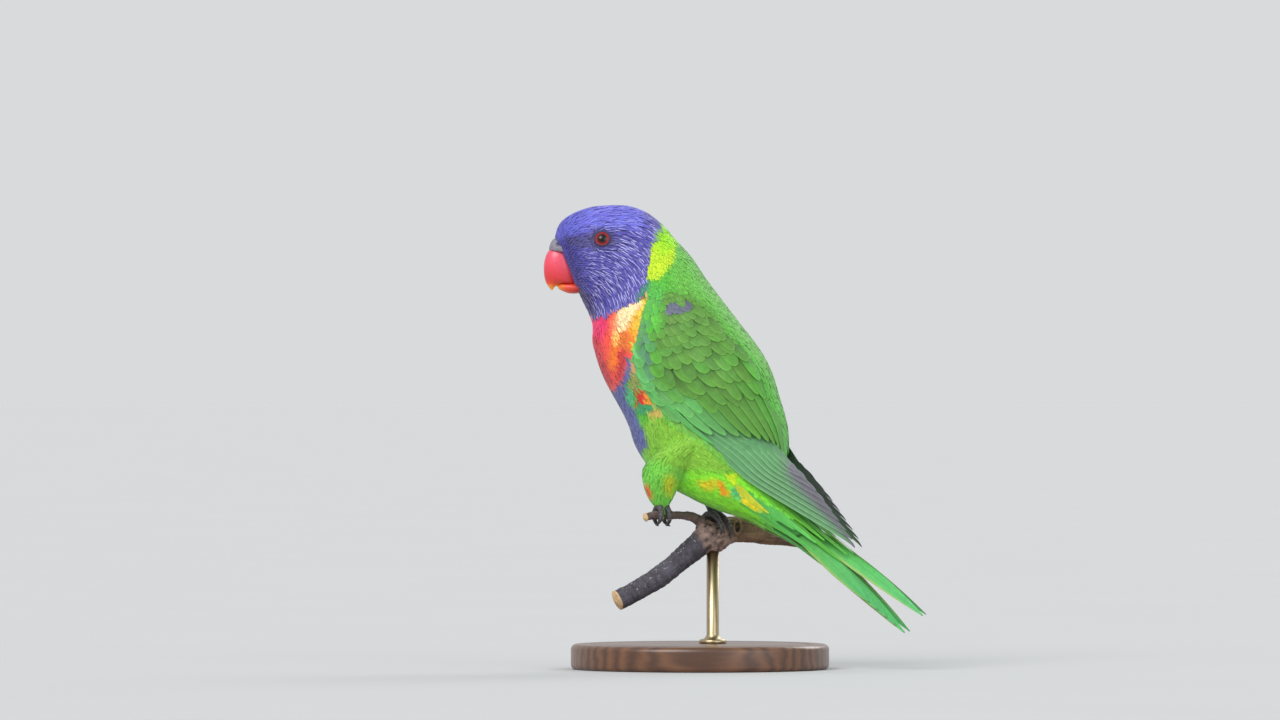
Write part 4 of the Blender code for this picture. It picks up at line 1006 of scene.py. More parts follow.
def under_wing(t, angle, margin):
    """Whether body places lie under the folded wing, at least margin mm inside its edges."""
    per_t, per_degree = 7.0, 0.5
    outline = np.concatenate((WING_TOP, WING_LOW_PLACES[::-1])) * (per_t, per_degree)
    return inside(t * per_t, folded(angle) * per_degree, outline) > margin


print("wing edge starts at", np.round(WING_LOW_PLACES[0], 2), "width", round(wing_width(0.5), 1), "mm")

# %% [markdown]
# ## Thighs join the skin
# The feathered thighs bulge from the body over each leg. Each is a short loft of ovals, and a
# Boolean union makes them one closed skin with the body, keeping the maps of both.

# %% Thigh shapes
# Rows of grid place, sideways place, half-length and half-width; each has a cell of the bake map
THIGHS = {
    "left": ((702, 420, -15.0, 10.5, 7.0), (689, 439, -17.0, 15.5, 9.5), (675.5, 456, -17.5, 17.2, 10.8),
             (668.5, 474, -16.5, 13.8, 9.8), (663.5, 490, -14.5, 8.9, 7.4), (663, 502, -12.8, 5.5, 4.9),
             (663, 509.5, -12.0, 2.5, 2.4)),
    "right": ((722, 432, 14.0, 9.0, 7.0), (716, 450, 16.0, 11.0, 9.0), (708, 467, 15.5, 9.6, 8.6),
              (701, 479, 14.0, 6.6, 6.4), (697.5, 486, 12.8, 4.0, 4.0), (696.5, 489, 12.4, 2.4, 2.4)),
}
THIGH_CELLS = {"left": 0.02, "right": 0.52}
THIGH_MARKED_AT = 17.0


def thigh(kind):
    """Surface function of one thigh, with the same use as the body's."""
    rows = THIGHS[kind]

    def point(t, angle):
        over = np.clip(t - (len(rows) - 1), 0.0, None)[..., None]
        r = through(rows, t)
        a = np.radians(angle)
        long, wide = r[..., 3] * np.cos(a), r[..., 4] * np.sin(a)
        ring = np.stack((long * 0.93, -wide, long * 0.30), axis=-1)
        return drawn(r[..., 0], r[..., 1], r[..., 2]) + ring + over * np.array((0.0, 0.0, -3.6))

    return lambda t, angle, lift=0.0: raised(point, t, angle, lift)


def thigh_map(kind, around, down):
    """Place in the thigh's cell of the bake map."""
    return THIGH_CELLS[kind] + 0.45 * around, 0.005 + 0.09 * down


def add_thigh(kind):
    rows, columns = 40, 40
    # 0.42 darkens the thigh skin's markings: darker feather bases and painted shade between the feathers.
    piece = skin_piece("skin_thigh", thigh(kind), 0.1, len(THIGHS[kind]) - 1.15, (rows, columns),
                       lambda t, angle: -1.1, 0.42, THIGH_MARKED_AT)
    order = np.arange(rows * columns + 2)
    bake_map(piece, *thigh_map(kind, (order % columns) / columns, np.minimum(order // columns, rows - 1) / rows))
    union = skin.modifiers.new("thigh", "BOOLEAN")
    union.operation, union.solver, union.object = "UNION", "EXACT", piece
    bpy.context.view_layer.update()
    joined = bpy.data.meshes.new_from_object(skin.evaluated_get(bpy.context.evaluated_depsgraph_get()))
    skin.modifiers.clear()
    skin.data = joined
    bpy.data.objects.remove(piece, do_unlink=True)


def smooth_with(piece, material):
    piece.data.materials.clear()
    piece.data.materials.append(material)
    piece.data.shade_smooth()


for kind in THIGHS:
    add_thigh(kind)
smooth_with(skin, coat_finish)
dressed(skin, "plumage_green", "head", "neck", "torso", "thigh_left", "thigh_right")
print("joined skin:", len(skin.data.polygons), "faces")

# %% [markdown]
# ## Bill and cere
# The bill is two smooth horns: the upper hooks down over the lower one, and a soft bare
# band, the cere, holds the nostrils above it. Each is a loft of ovals between an outer and
# an inner line of the drawing, with fine rows so that its curve has no flats.

# %% Bill shapes
# Outer point, inner point (grid units) and half-width (mm)
BILL_UPPER = np.array(((550.0, 249.0, 569.5, 252.5, 4.6), (546.5, 254.0, 573.0, 258.5, 5.6),
                       (544.3, 261.5, 576.0, 268.0, 6.1), (543.7, 269.0, 577.0, 277.0, 5.9),
                       (544.3, 276.5, 575.5, 284.0, 4.9), (545.8, 282.0, 564.0, 283.6, 3.3),
                       (548.0, 286.0, 555.0, 286.8, 1.9), (550.8, 290.0, 552.6, 290.2, 0.6)))
BILL_LOWER = np.array(((557.0, 285.2, 558.4, 288.6, 1.4), (561.0, 283.0, 562.5, 291.0, 3.1),
                       (567.5, 282.4, 568.5, 293.2, 4.3), (574.0, 282.6, 575.0, 293.6, 4.9),
                       (580.0, 283.4, 581.0, 292.6, 5.0)))
CERE = np.array(((555.6, 238.0, 558.6, 240.4, 1.0), (553.4, 239.0, 561.4, 243.0, 3.1),
                 (551.6, 241.2, 565.2, 246.0, 4.7), (550.0, 244.4, 569.0, 249.2, 5.9),
                 (549.2, 247.6, 571.4, 252.0, 6.5), (549.2, 249.8, 572.0, 253.6, 6.3)))
NOSTRIL_AT = (558.4, 244.8, 4.7)


def horn_piece(name, table, power, material, rows=40, columns=56, change=None):
    """Closed loft of ovals; change may move the straight-bird points."""
    last = len(table) - 1.0
    t = np.linspace(0.0, last, rows)
    r = through(table, t)
    outer, inner = drawn(r[:, 0], r[:, 1], 0.0, True), drawn(r[:, 2], r[:, 3], 0.0, True)
    a = turns(columns)
    side = np.sign(np.sin(a)) * np.abs(np.sin(a)) ** power
    points = (outer + inner)[:, None] / 2 + (outer - inner)[:, None] / 2 * np.cos(a)[None, :, None]
    points = points + SIDEWAYS * (r[:, 4][:, None] * side[None])[..., None]
    if change:
        points = change(points)
    place = np.stack(np.broadcast_arrays(t[:, None] / last, np.abs(np.sin(a / 2))[None], 0.0), axis=-1)
    return loft(name, posed(with_ends(points)), (rows, columns),
                {"horn": with_ends(place, ((0, 0.5, 0), (1, 0.5, 0)))}, material)


# %% Bill and cere finishes
def horn_finish(name, stops, roughness, bump_scale, bump):
    """Glossy horn whose colour runs along the piece from its root to its tip."""
    made = Finish(name)
    colours = made.ramp(made.split(made.attribute("horn", "Vector"))[0], stops)
    grain = made.noise(made.stretched((1.0, 1.0, 0.25)), bump_scale, 5.0)["Fac"]
    return made.finished(Base_Color=made.mottled(colours, 900.0, 0.18)["Color"],
                         Normal=made.bump(grain, bump, 0.0001),
                         Roughness=made.span(grain, {3: roughness - 0.06, 4: roughness + 0.10}),
                         Subsurface_Weight=0.0, Coat_Weight=0.25, Coat_Roughness=0.2)


def bare_finish(name, shade, seam_shade, scale, roughness, bump):
    """Matt bare skin with raised cells and darker seams."""
    made = Finish(name)
    cells = made.group(PEBBLES.tree, Scale=scale, Seam=0.16)
    base = made.mix(cells["Seams"], tone(*shade), tone(*seam_shade))
    return made.finished(Base_Color=made.mottled(base, 600.0, 0.35)["Color"],
                         Normal=made.bump(cells["Height"], bump, 0.0002), Roughness=roughness,
                         Specular_IOR_Level=0.4)


bill_finish = horn_finish("bill_horn", (
    (0.0, (212, 84, 112)), (0.30, (218, 66, 88)), (0.58, (210, 46, 48)), (0.74, (222, 66, 28)),
    (0.86, (240, 140, 40)), (1.0, (246, 186, 80))), 0.36, 700.0, 0.2)
lower_finish = horn_finish("lower_bill_horn", (
    (0.0, (240, 150, 50)), (0.4, (222, 66, 30)), (1.0, (176, 30, 28))), 0.40, 700.0, 0.2)
claw_finish = horn_finish("claw_horn", (
    (0.0, (64, 60, 60)), (0.5, (38, 36, 37)), (1.0, (26, 25, 26))), 0.3, 900.0, 0.25)
cere_finish = bare_finish("cere_skin", (138, 134, 146), (112, 108, 120), 3200.0, 0.6, 0.25)
foot_finish = bare_finish("foot_skin", (84, 80, 84), (52, 48, 52), 1100.0, 0.62, 0.6)
lid_finish = bare_finish("lid_skin", (64, 58, 88), (48, 42, 66), 3400.0, 0.6, 0.3)


# %% Make the bill and cere
def with_nostrils(points):
    """Press a nostril with a raised rim into each side of the cere."""
    u, v, y = NOSTRIL_AT
    for side in (-1, 1):
        off = points - drawn(u, v, side * y, True)
        off[..., 1] *= 0.6
        far = np.linalg.norm(off, axis=-1)
        points = points - SIDEWAYS * side * (1.7 * np.exp(-(far / 0.95) ** 2))[..., None]
        points = points + SIDEWAYS * side * (0.35 * np.exp(-((far - 1.7) / 0.7) ** 2))[..., None]
    return points


bill_upper = horn_piece("bill_upper_horn", BILL_UPPER, 0.9, bill_finish, rows=70)
bill_lower = horn_piece("bill_lower_horn", BILL_LOWER, 0.9, lower_finish)
cere = horn_piece("cere_band", CERE, 0.85, cere_finish, columns=72, change=with_nostrils)
dressed(bill_upper, "bill", "bill_upper")
dressed(bill_lower, "bill", "bill_lower")
dressed(cere, "cere_skin", "cere")
print("bill pieces:", [len(p.data.polygons) for p in (bill_upper, bill_lower, cere)])

# %% [markdown]
# ## Eyes
# A lorikeet's iris is red with a brighter outer ring round a black pupil.
# The eyeball is turned on an axis with a slight bulge for the cornea, and each point keeps
# its distance from the axis, so that the rings of colour are drawn on the ball itself.

# %% Eyes
EYE_RADIUS, CORNEA = 4.6, 0.16
LID_MAJOR, LID_MINOR = 3.80, 0.42
RING_SPAN = 4.0
EYE_RINGS = ((0.0, (2, 1, 2)), (0.41, (3, 2, 2)), (0.445, (64, 18, 14)), (0.60, (92, 24, 22)),
             (0.68, (140, 30, 34)), (0.75, (204, 52, 62)), (0.84, (210, 64, 76)), (0.90, (60, 20, 26)))


def eye_finish():
    made = Finish("wet_eye")
    rings = made.ramp(made.math("DIVIDE", made.attribute("ring"), RING_SPAN), EYE_RINGS)
    return made.finished(Base_Color=made.mottled(rings, 3500.0, 0.5)["Color"], Roughness=0.30,
                         Specular_IOR_Level=0.12, Coat_Weight=0.5, Coat_Roughness=0.02)


def facing_frame(look):
    """Two directions square to a look direction."""
    side = unit(np.cross(UP, look))
    return side, np.cross(look, side)


eye_material = eye_finish()


def eye_piece(name, centre, look):
    side, up = facing_frame(look)
    rows, columns = 44, 56
    polar, around = np.linspace(0.02, math.pi - 0.05, rows)[:, None], turns(columns)[None]
    radius = EYE_RADIUS + CORNEA * np.exp(-(polar / 0.55) ** 2)
    points = (centre + look * (radius * np.cos(polar))[..., None]
              + side * (radius * np.sin(polar) * np.cos(around))[..., None]
              + up * (radius * np.sin(polar) * np.sin(around))[..., None])
    poles = centre + look * (EYE_RADIUS + CORNEA), centre - look * EYE_RADIUS
    back = 6.0
    ring = np.where(polar < 1.5, EYE_RADIUS * np.sin(np.minimum(polar, 1.5)), back).repeat(columns)
    return loft(name, with_ends(points, poles), (rows, columns), {"ring": np.append(ring, (0.0, back))}, eye_material)


def lid_piece(name, centre, look):
    """Bare rim round the eye, with fine folds, that hugs the ball and meets the face feathers."""
    side, up = facing_frame(look)
    rows, columns = 120, 20
    around, b = turns(rows)[:, None], turns(columns)[None]
    folds = 0.10 * np.cos(around * 26) + 0.06 * np.cos(around * 41 + 1.0)
    minor = LID_MINOR * (0.92 + folds * (0.4 + 0.6 * np.cos(b)))
    reach = LID_MAJOR - 0.08 + minor * np.cos(b)
    height = math.sqrt((EYE_RADIUS + 0.35 + LID_MINOR) ** 2 - LID_MAJOR ** 2) - 0.55
    points = (centre + look * (height - 0.35 * np.cos(b) + minor * 0.7 * np.sin(b))[..., None]
              + side * (reach * np.cos(around))[..., None] + up * (reach * 0.965 * np.sin(around))[..., None])
    quads = grid_faces(rows + 1, columns) % (rows * columns)
    piece = mesh_piece(name, points.reshape(-1, 3), quads, {}, lid_finish)
    turn_outward(piece.data)
    return piece


for side, axis in zip(("left", "right"), EYES):
    dressed(eye_piece("eyeball_" + side, *axis), "eye", "eye_" + side)
    dressed(lid_piece("eye_rim_" + side, *axis), "cere_skin", "eyelid_" + side)
print("eyes look along", [tuple(np.round(e[1], 2)) for e in EYES])

# %% [markdown]
# ## Feathers of the head
# The head is covered in narrow, pointed feathers with pale shafts, tiny at the bill and longer
# on the crown and cheeks. Roots inside the bill, the cere or the eye are left out.

# %% Head coat
def face_tree():
    """Search tree of the bill and the cere together, in millimetres."""
    corners, faces = [], []
    for piece in (bill_upper, bill_lower, cere):
        faces.extend([[len(corners) + i for i in p.vertices] for p in piece.data.polygons])
        corners.extend((read_values(piece.data.vertices, "co") / MM).tolist())
    return BVHTree.FromPolygons(corners, faces)


FACE_TREE = face_tree()


def off_the_face(point, reach):
    """Whether a place is outside the bill and cere by at least reach."""
    near, normal, index, distance = FACE_TREE.find_nearest(Vector(point))
    return (Vector(point) - near).dot(normal) > 0 and distance > reach


def over_eye(world, centre, look, reach):
    off = world - centre
    ahead = off @ look
    return (np.linalg.norm(off - ahead[:, None] * look, axis=1) < reach) & (ahead > 0)


def body_place_map(t, angle):
    return np.stack((0.02 + 0.96 * (angle % 360.0) / 360.0, 0.12 + 0.86 * np.clip(t, 0, LAST) / LAST,
                     np.zeros(len(t))), axis=1)


def face_distance(t, angle):
    """How far behind the bill a place is, in mm, for sizes that grow with it."""
    return np.linalg.norm(posed(body(t, angle)[0]) - posed(drawn(560.0, 262.0, 0.0, True)), axis=-1)


def head_spacing(t, angle):
    return 0.60 + 0.46 * ramp(face_distance(t, angle), 8.0, 30.0)


def pale_shaft(colour, u, v, draw):
    """Shafts are pale lilac on the cheeks and nape, and close to the vane's own blue on the brow."""
    n = len(u)
    light = tone(206, 202, 255) * draw.uniform(0.9, 1.1, (n, 1))
    on_crown, on_lores = ramp(in_zone(u, v, "crown"), -7.0, 7.0), ramp(in_zone(u, v, "lores"), -3.0, 3.0)
    cheek = ramp(u, 570, 592) * (1 - 0.6 * on_crown) * (1 - 0.75 * on_lores)
    cheek = cheek * ramp(colour[:, 2] - colour[:, 1], 0.05, 0.15)
    strong = draw.uniform(0.0, 1.0, n) < 0.44
    amount = cheek * np.where(strong, draw.uniform(0.72, 1.0, n), draw.uniform(0.0, 0.25, n))
    return blend(colour, light, amount[:, None])


t, angle = scatter(body, 0.02, 10.5, head_spacing, 5, 110000)
straight = body(t, angle)[0]
world = posed(straight)
free = in_zone(*seen_from_left(straight), "head") > -0.5
free &= [off_the_face(p, 0.30) for p in world]
for centre, look in EYES:
    free &= ~over_eye(world, centre, look, EYE_CLEAR - 0.45)
t, angle = t[free], angle[free]
straight = body(t, angle)[0]
far = face_distance(t, angle)
edge_room = in_zone(*seen_from_left(straight), "head") * GRID
length = np.minimum(2.2 + 6.4 * ramp(far, 9.0, 36.0), 3.4 + 1.1 * np.maximum(edge_room, 0.0))
head_table = feather_table(body, t, angle, length, 0.34 + 0.46 * ramp(far, 9.0, 34.0),
                           0.58 + 0.22 * ramp(far, 9.0, 30.0), 21, -0.76 - 0.08 * ramp(far, 9.0, 30.0),
                           body_place_map(t, angle), 7.0, EYES)
head_table["shown"] = straight
paint(head_table, 22, 0.5, 0.70, pale_shaft, 0.92, 0.08, 0.6)
grow_coat("coat_head", head_table, head_blades, "plumage_blue", 3, 2)
print("head feathers:", len(t))

# %% [markdown]
# ## Feathers of the body
# Body feathers are fine and narrow, and lie like tiles from the collar to the tail.
# They stop where the folded wing covers the body, except for a margin at its edges,
# where they lap over the wing as scapulars and flank feathers do.

# %% Body coat
def body_spacing(t, angle):
    """Spacing is closer on the breast and belly."""
    front = ramp(folded(angle), 100, 130) * ramp(-t, -17.0, -14.0)
    return 0.76 + 0.28 * ramp(t, 8.0, 12.0) * (1 - 0.75 * front)


t, angle = scatter(body, 3.0, 20.6, body_spacing, 7, 300000)
keep = (in_zone(*seen_from_left(body(t, angle)[0]), "head") <= 0.0) & ~under_wing(t, angle, 1.6)
t, angle = t[keep], angle[keep]
down, behind_neck = folded(angle), ramp(t, 8.0, 12.0)
front = ramp(down, 95, 125) * ramp(-t, -17.5, -14.5)
back = ramp(-down, -40, -15) * ramp(t, 9.0, 11.0) * ramp(-t, -18.0, -15.0)
length = 5.2 + 2.2 * behind_neck + 1.0 * ramp(t, 14.0, 20.0) + 1.2 * back
half = (0.67 + 0.31 * behind_neck) * (1 - 0.22 * front) * (1 - 0.15 * back)
turn = 24.0 * ramp(down, 70, 110) * ramp(-down, -175, -140) * ramp(-t, -15.0, -12.0)
body_table = feather_table(body, t, angle, length, half, 0.82, 31, -0.92, body_place_map(t, angle), 6.0,
                           turn=turn * np.sign(np.sin(np.radians(angle))))
paint(body_table, 32, 0.7, 0.66)
BLADE_TRIANGLES, MOST_TRIANGLES = 44, 190000
parts = 1 + len(t) * BLADE_TRIANGLES // MOST_TRIANGLES
grow_coat("coat_body", body_table, body_blades, "plumage_green", 5, parts)
print("body feathers:", len(t), "in", parts, "pieces")

# %% Thigh coats
# Where the coat ends before the last row, and how much shorter it gets
for kind, seed, before, shorter in (("left", 41, 0.1, 1.6), ("right", 43, 1.2, 3.0)):
    surface, last = thigh(kind), len(THIGHS[kind]) - 1
    t, angle = scatter(surface, 0.4, last - before, lambda t, angle: np.full(t.shape, 0.86), seed, 40000)
    place = np.stack(np.broadcast_arrays(*thigh_map(kind, angle / 360.0, t / last), 0.0), axis=1)
    low = ramp(t, 3.0, last)
    table = feather_table(surface, t, angle, 5.8 - shorter * low, 0.72 - 0.22 * low, 0.85, seed, -0.95, place, 7.0)
    table["shown_t"] = THIGH_MARKED_AT
    paint(table, seed + 1, 1.0, 0.66)
    grow_coat("coat_thigh_" + kind, table, body_blades, "plumage_green", seed)
    print("thigh feathers,", kind + ":", len(t))

# %% [markdown]
# ## Large feathers
# Wing and tail feathers are big enough to be modelled one at a time. Each follows a smooth
# path, has a raised shaft, a cupped vane with a thin edge, and a tip that narrows and frays.
# One helper builds them all from arrays, and packs each into its own cell of the bake map.

# %% Feather builder
class FeatherBatch:
    """Collects large feathers and makes them one mesh; flip mirrors them to the right side."""

    def __init__(self, columns, flip=False):
        self.columns = columns
        self.mirror = np.array((1, -1, 1)) if flip else np.array((1, 1, 1))
        self.feathers = []

    def add(self, stations, shade, rows, thick, lean, camber, ridge, fray, seed):
        """One feather through stations of centre, normal and half-width; shade(w, s) gives its colours."""
        draw = np.random.default_rng(seed)
        centres, normals, halves = (np.array(part, float) for part in zip(*stations))
        stations = np.concatenate((centres, normals, halves[:, None]), axis=1)
        run = np.linspace(0.0, 1.0, rows) ** 0.92
        r = through(stations, run * (len(stations) - 1))
        centre, normal, half = r[:, :3] * self.mirror, r[:, 3:6] * self.mirror, np.maximum(r[:, 6], 0.05)
        ahead = unit(np.gradient(centre, axis=0))
        normal = unit(normal - ahead * dot(normal, ahead))
        side = np.cross(ahead, normal) * self.mirror[1]
        w = np.linspace(-1.0, 1.0, self.columns)[None]
        rough = 1.0 + fray * np.cumsum(draw.normal(0, 0.35, (rows, 2)), axis=0) * ramp(run, 0.3, 0.8)[:, None]
        run, half = run[:, None], half[:, None]
        x = w * half * np.where(np.abs(w) > 0.9, np.where(w < 0, rough[:, :1], rough[:, 1:]), 1.0)
        lift = lean * w * np.minimum(half / 2.0, 1.0) - camber * w ** 2 * half * 0.5
        rib = ridge * np.exp(-(w * half / 0.32) ** 2) * (1 - 0.7 * run)
        depth = thick * (1 - w ** 2 * 0.85) * (1 - 0.5 * run)
        top, low = (centre[:, None] + side[:, None] * x[..., None] + normal[:, None] * height[..., None]
                    for height in (lift + rib + depth / 2, lift - depth / 2))
        ring = np.concatenate((top, low[:, -2:0:-1]), axis=1)
        w, s = np.broadcast_arrays(np.concatenate((w, w[:, -2:0:-1]), axis=1), run)
        reach = np.linalg.norm(centre[-1] - centre[0])
        tip = ring[-1].mean(axis=0) + ahead[-1] * 0.12 * half[-1]
        face = np.concatenate((np.arange(self.columns) / 2, self.columns / 2 + np.arange(self.columns - 2) / 2))
        cell = np.stack(np.broadcast_arrays(face / self.columns, run, 0.0), axis=-1)
        self.feathers.append({
            "points": with_ends(ring, (ring[0].mean(axis=0), tip)), "tint": with_ends(shade(w, s)),
            "vane": with_ends(np.stack((w, s * reach / 30.0, np.full(w.shape, reach)), axis=-1),
                              ((0, 0, reach), (0, reach / 30.0, reach))),
            "cell": with_ends(cell, ((0.25, 0.0, 0.0), (0.25, 1.0, 0.0))),
            "quads": grid_faces(*w.shape), "tris": capped(*w.shape)})

    def piece(self, name, material):
        start = 0
        count = len(self.feathers)
        side = math.ceil(math.sqrt(count * 3.0))
        rows = math.ceil(count / side)
        for k, feather in enumerate(self.feathers):
            corner = np.array((k % side + 0.06, k // side + 0.04, 0.0))
            feather["cell"] = corner + feather["cell"] * (0.88, 0.92, 0.0)
            feather["quads"], feather["tris"] = feather["quads"] + start, feather["tris"] + start
            start += len(feather["points"])
        whole = {key: np.concatenate([feather[key] for feather in self.feathers]) for key in self.feathers[0]}
        made = mesh_piece(name, posed(whole["points"]), whole["quads"], {"tint": whole["tint"], "vane": whole["vane"]},
                          material, whole["tris"])
        bake_map(made, whole["cell"][:, 0] / side, whole["cell"][:, 1] / rows)
        turn_outward(made.data)
        mark_rims(made.data, whole["vane"][:, 0])
        return made


def fringe(base, edge, covered_edge_shadow, draw, edge_width=0.3, root_painted_shade=0.85):
    """Colours of a vane: painted shade toward the root and a painted shadow along the covered edge, its own rim tint,
    small streaks.
    """
    streaks = 64
    streak = draw.uniform(-1, 1, streaks)

    def shade(w, s):
        rim = ramp(w, 1.0 - edge_width * 1.6, 1.0)[..., None] * ramp(s, 0.1, 0.4)[..., None]
        colour = blend(base, edge, np.maximum(rim, ramp(s, 0.80, 0.97)[..., None] * 0.9))
        # Painted shade: the vane darkens toward its root, where the row above covers it.
        colour = colour * (1 - ramp(-s, -0.62, -0.20)[..., None] * (1 - root_painted_shade))
        lines = 1.0 + 0.07 * np.interp((w + 1) * 31 + s * 6, np.arange(streaks), streak)[..., None]
        # Painted shadow along the covered edge, where w is below 0.
        return colour * lines * (1 - covered_edge_shadow * ramp(-w, -0.1, 1.0)[..., None])

    return shade


def triangles(piece):
    return len(piece.data.loops) - 2 * len(piece.data.polygons)


# %% [markdown]
# ## Wings
# A folded wing shows rows of small coverts, then longer ones, then the bright secondaries in
# bands, and the stacked primaries with thin pale edges that run to the wing's tip.
# Rows are laid from the rear to the shoulder, each lapping over the one behind it.

# %% Behind the body
# Top point, low point (grid place, sideways mm) and bow of the wing behind the body
WING_REAR = np.array(((791, 462, -8.0, 745, 479, -19.3, 3.9), (804, 474, -7.6, 766, 493, -17.2, 2.8),
                      (820, 493, -7.2, 789, 506, -14.4, 1.7), (836, 515, -6.9, 815, 522, -11.6, 0.8),
                      (849, 534, -6.6, 838, 537, -9.2, 0.3), (857, 548, -6.4, 854, 549, -7.2, 0.0)))
REAR_END = len(WING_REAR) - 1.0


def rear_place(r, f, lift=0.0):
    """Point, normal and span of the wing behind the body at place r, f from top to low edge."""
    r = min(max(r, 0.0), REAR_END - 0.001)
    i = int(r)
    row = WING_REAR[i] + (WING_REAR[i + 1] - WING_REAR[i]) * (r - i)
    top, low, bow = drawn(*row[:3]), drawn(*row[3:6]), row[6]
    span = np.linalg.norm(low - top)
    way = (low - top) / span
    n = unit(np.cross(np.array((0.77, 0.0, -0.63)), way))
    n = n if n[1] < 0 else -n
    slope = unit(n * span - way * bow * 4 * (1 - 2 * f))
    return top + way * span * f + n * bow * 4 * f * (1 - f) + slope * lift, slope, span


def rear_tip(from_low):
    """How far along the wing's rear the low edge plus from_low mm still lies on it."""
    tip = 0.0
    while tip < 4.8 and rear_place(tip, 0.5)[2] > from_low:
        tip += 0.05
    return max(tip, 0.35)


# %% Primaries and secondaries
PRIMARIES = SECONDARIES = 9
FLIGHT_START, TIP_INSET = 0.50, 2.3


def primary_shade(k, draw):
    """The outer web is green with a thin pale rim; the inner web and the tip are grey-violet."""
    pale, green = tone(134, 184, 130) * draw.uniform(0.9, 1.1), tone(88, 152, 94) * draw.uniform(0.9, 1.1)
    grey_from = 0.40 + 0.045 * k

    def shade(w, s):
        aged = ramp(s, grey_from, grey_from + 0.2)[..., None]
        colour = blend(green, tone(96, 132, 100), 0.5 * ramp(s, 0.25, 0.75)[..., None])
        colour = blend(colour, tone(104, 98, 112), aged)
        colour = blend(colour, tone(74, 104, 84), 0.4 * ramp(-w, -0.1, 0.6)[..., None])
        line = ramp(w, 0.66, 0.92)[..., None] * ramp(s, 0.1, 0.25)[..., None]
        return blend(colour, blend(pale, tone(136, 130, 144), 0.7 * aged), 0.8 * line)

    return shade


def add_primary(batch, k, seed, draw):
    from_low = 1.9 + 2.55 * (PRIMARIES - 1 - k)
    tip, half = rear_tip(from_low), 2.35

    def beside_body(a, lift, wide):
        return *wing_surface(a, 1.0 - from_low / max(wing_width(a), 24.5), lift), half * wide

    def behind_body(f, wide):
        span = rear_place(tip * f, 0.5)[2]
        near = min(from_low, span * 0.93) if k < PRIMARIES - 1 else min(TIP_INSET, span * 0.5)
        return *rear_place(tip * f, 1.0 - near / span, -0.1)[:2], half * wide

    stations = [beside_body(*at) for at in ((0.56, -2.6, 0.7), (0.66, -1.8, 0.95), (0.78, -1.35, 1.0),
                                              (0.92, -1.0, 1.0))]
    stations += [behind_body(*at) for at in ((0.0, 1.0), (0.35, 0.97), (0.7, 0.74), (0.9, 0.42), (1.0, 0.12))]
    batch.add(stations, primary_shade(k, draw), 34, 0.14, 0.24, 0.04, 0.05, 0.01, seed + k)


def wing_colour(point, a, v, draw, wander=1.2):
    """Colour of the wing's markings at a feather's place, with a little wander."""
    t, angle = wing_place(a, v)
    u, v = seen_from_left(point)
    return markings(u + draw.normal(0, wander), v + draw.normal(0, wander), t, angle, zones=WING_ZONES)


def add_secondary(batch, k, seed, draw):
    f = k / (SECONDARIES - 1)
    reach, v = 0.985 - 0.185 * f - FLIGHT_START, 0.07 + 0.80 * f

    def station(g, lift, wide):
        return *wing_surface(FLIGHT_START + reach * g, v - 0.03 * g, lift), 2.55 * wide

    stations = [station(*at) for at in ((0.0, -2.1, 0.8), (0.2, -1.1, 0.95), (0.45, -0.35, 1.02),
                                          (0.7, -0.02, 1.0), (0.9, 0.08, 0.72), (1.0, 0.10, 0.25))]
    base = wing_colour(stations[3][0], FLIGHT_START + reach * 0.7, v, draw) * draw.uniform(0.85, 1.0)
    # 0.30 is a painted shadow along the covered edge, and 0.8 the painted shade at the root.
    shade = fringe(base, base * 1.15 + tone(120, 200, 90) * 0.10, 0.30, draw, 0.22, 0.8)
    batch.add(stations, shade, 26, 0.13, 0.26, 0.06, 0.16, 0.03, seed + 20 + k)


# %% Coverts and the leading edge
# Root and tip along the wing, how many across, and the shift of the first
COVERTS = ((0.010, 0.090, 8, 0.5), (0.035, 0.125, 9, 0.0), (0.065, 0.160, 9, 0.5), (0.100, 0.200, 10, 0.0),
           (0.140, 0.245, 10, 0.5), (0.185, 0.292, 10, 0.0), (0.230, 0.342, 10, 0.5), (0.278, 0.394, 10, 0.0),
           (0.328, 0.450, 10, 0.5), (0.380, 0.520, 10, 0.0), (0.436, 0.600, 10, 0.5), (0.500, 0.690, 10, 0.0))
# Displaced grey feathers on the shoulder of the near wing
DOWN_PATCH = ((664, 306), (676, 304), (691, 306), (693, 313), (682, 318), (668, 317))


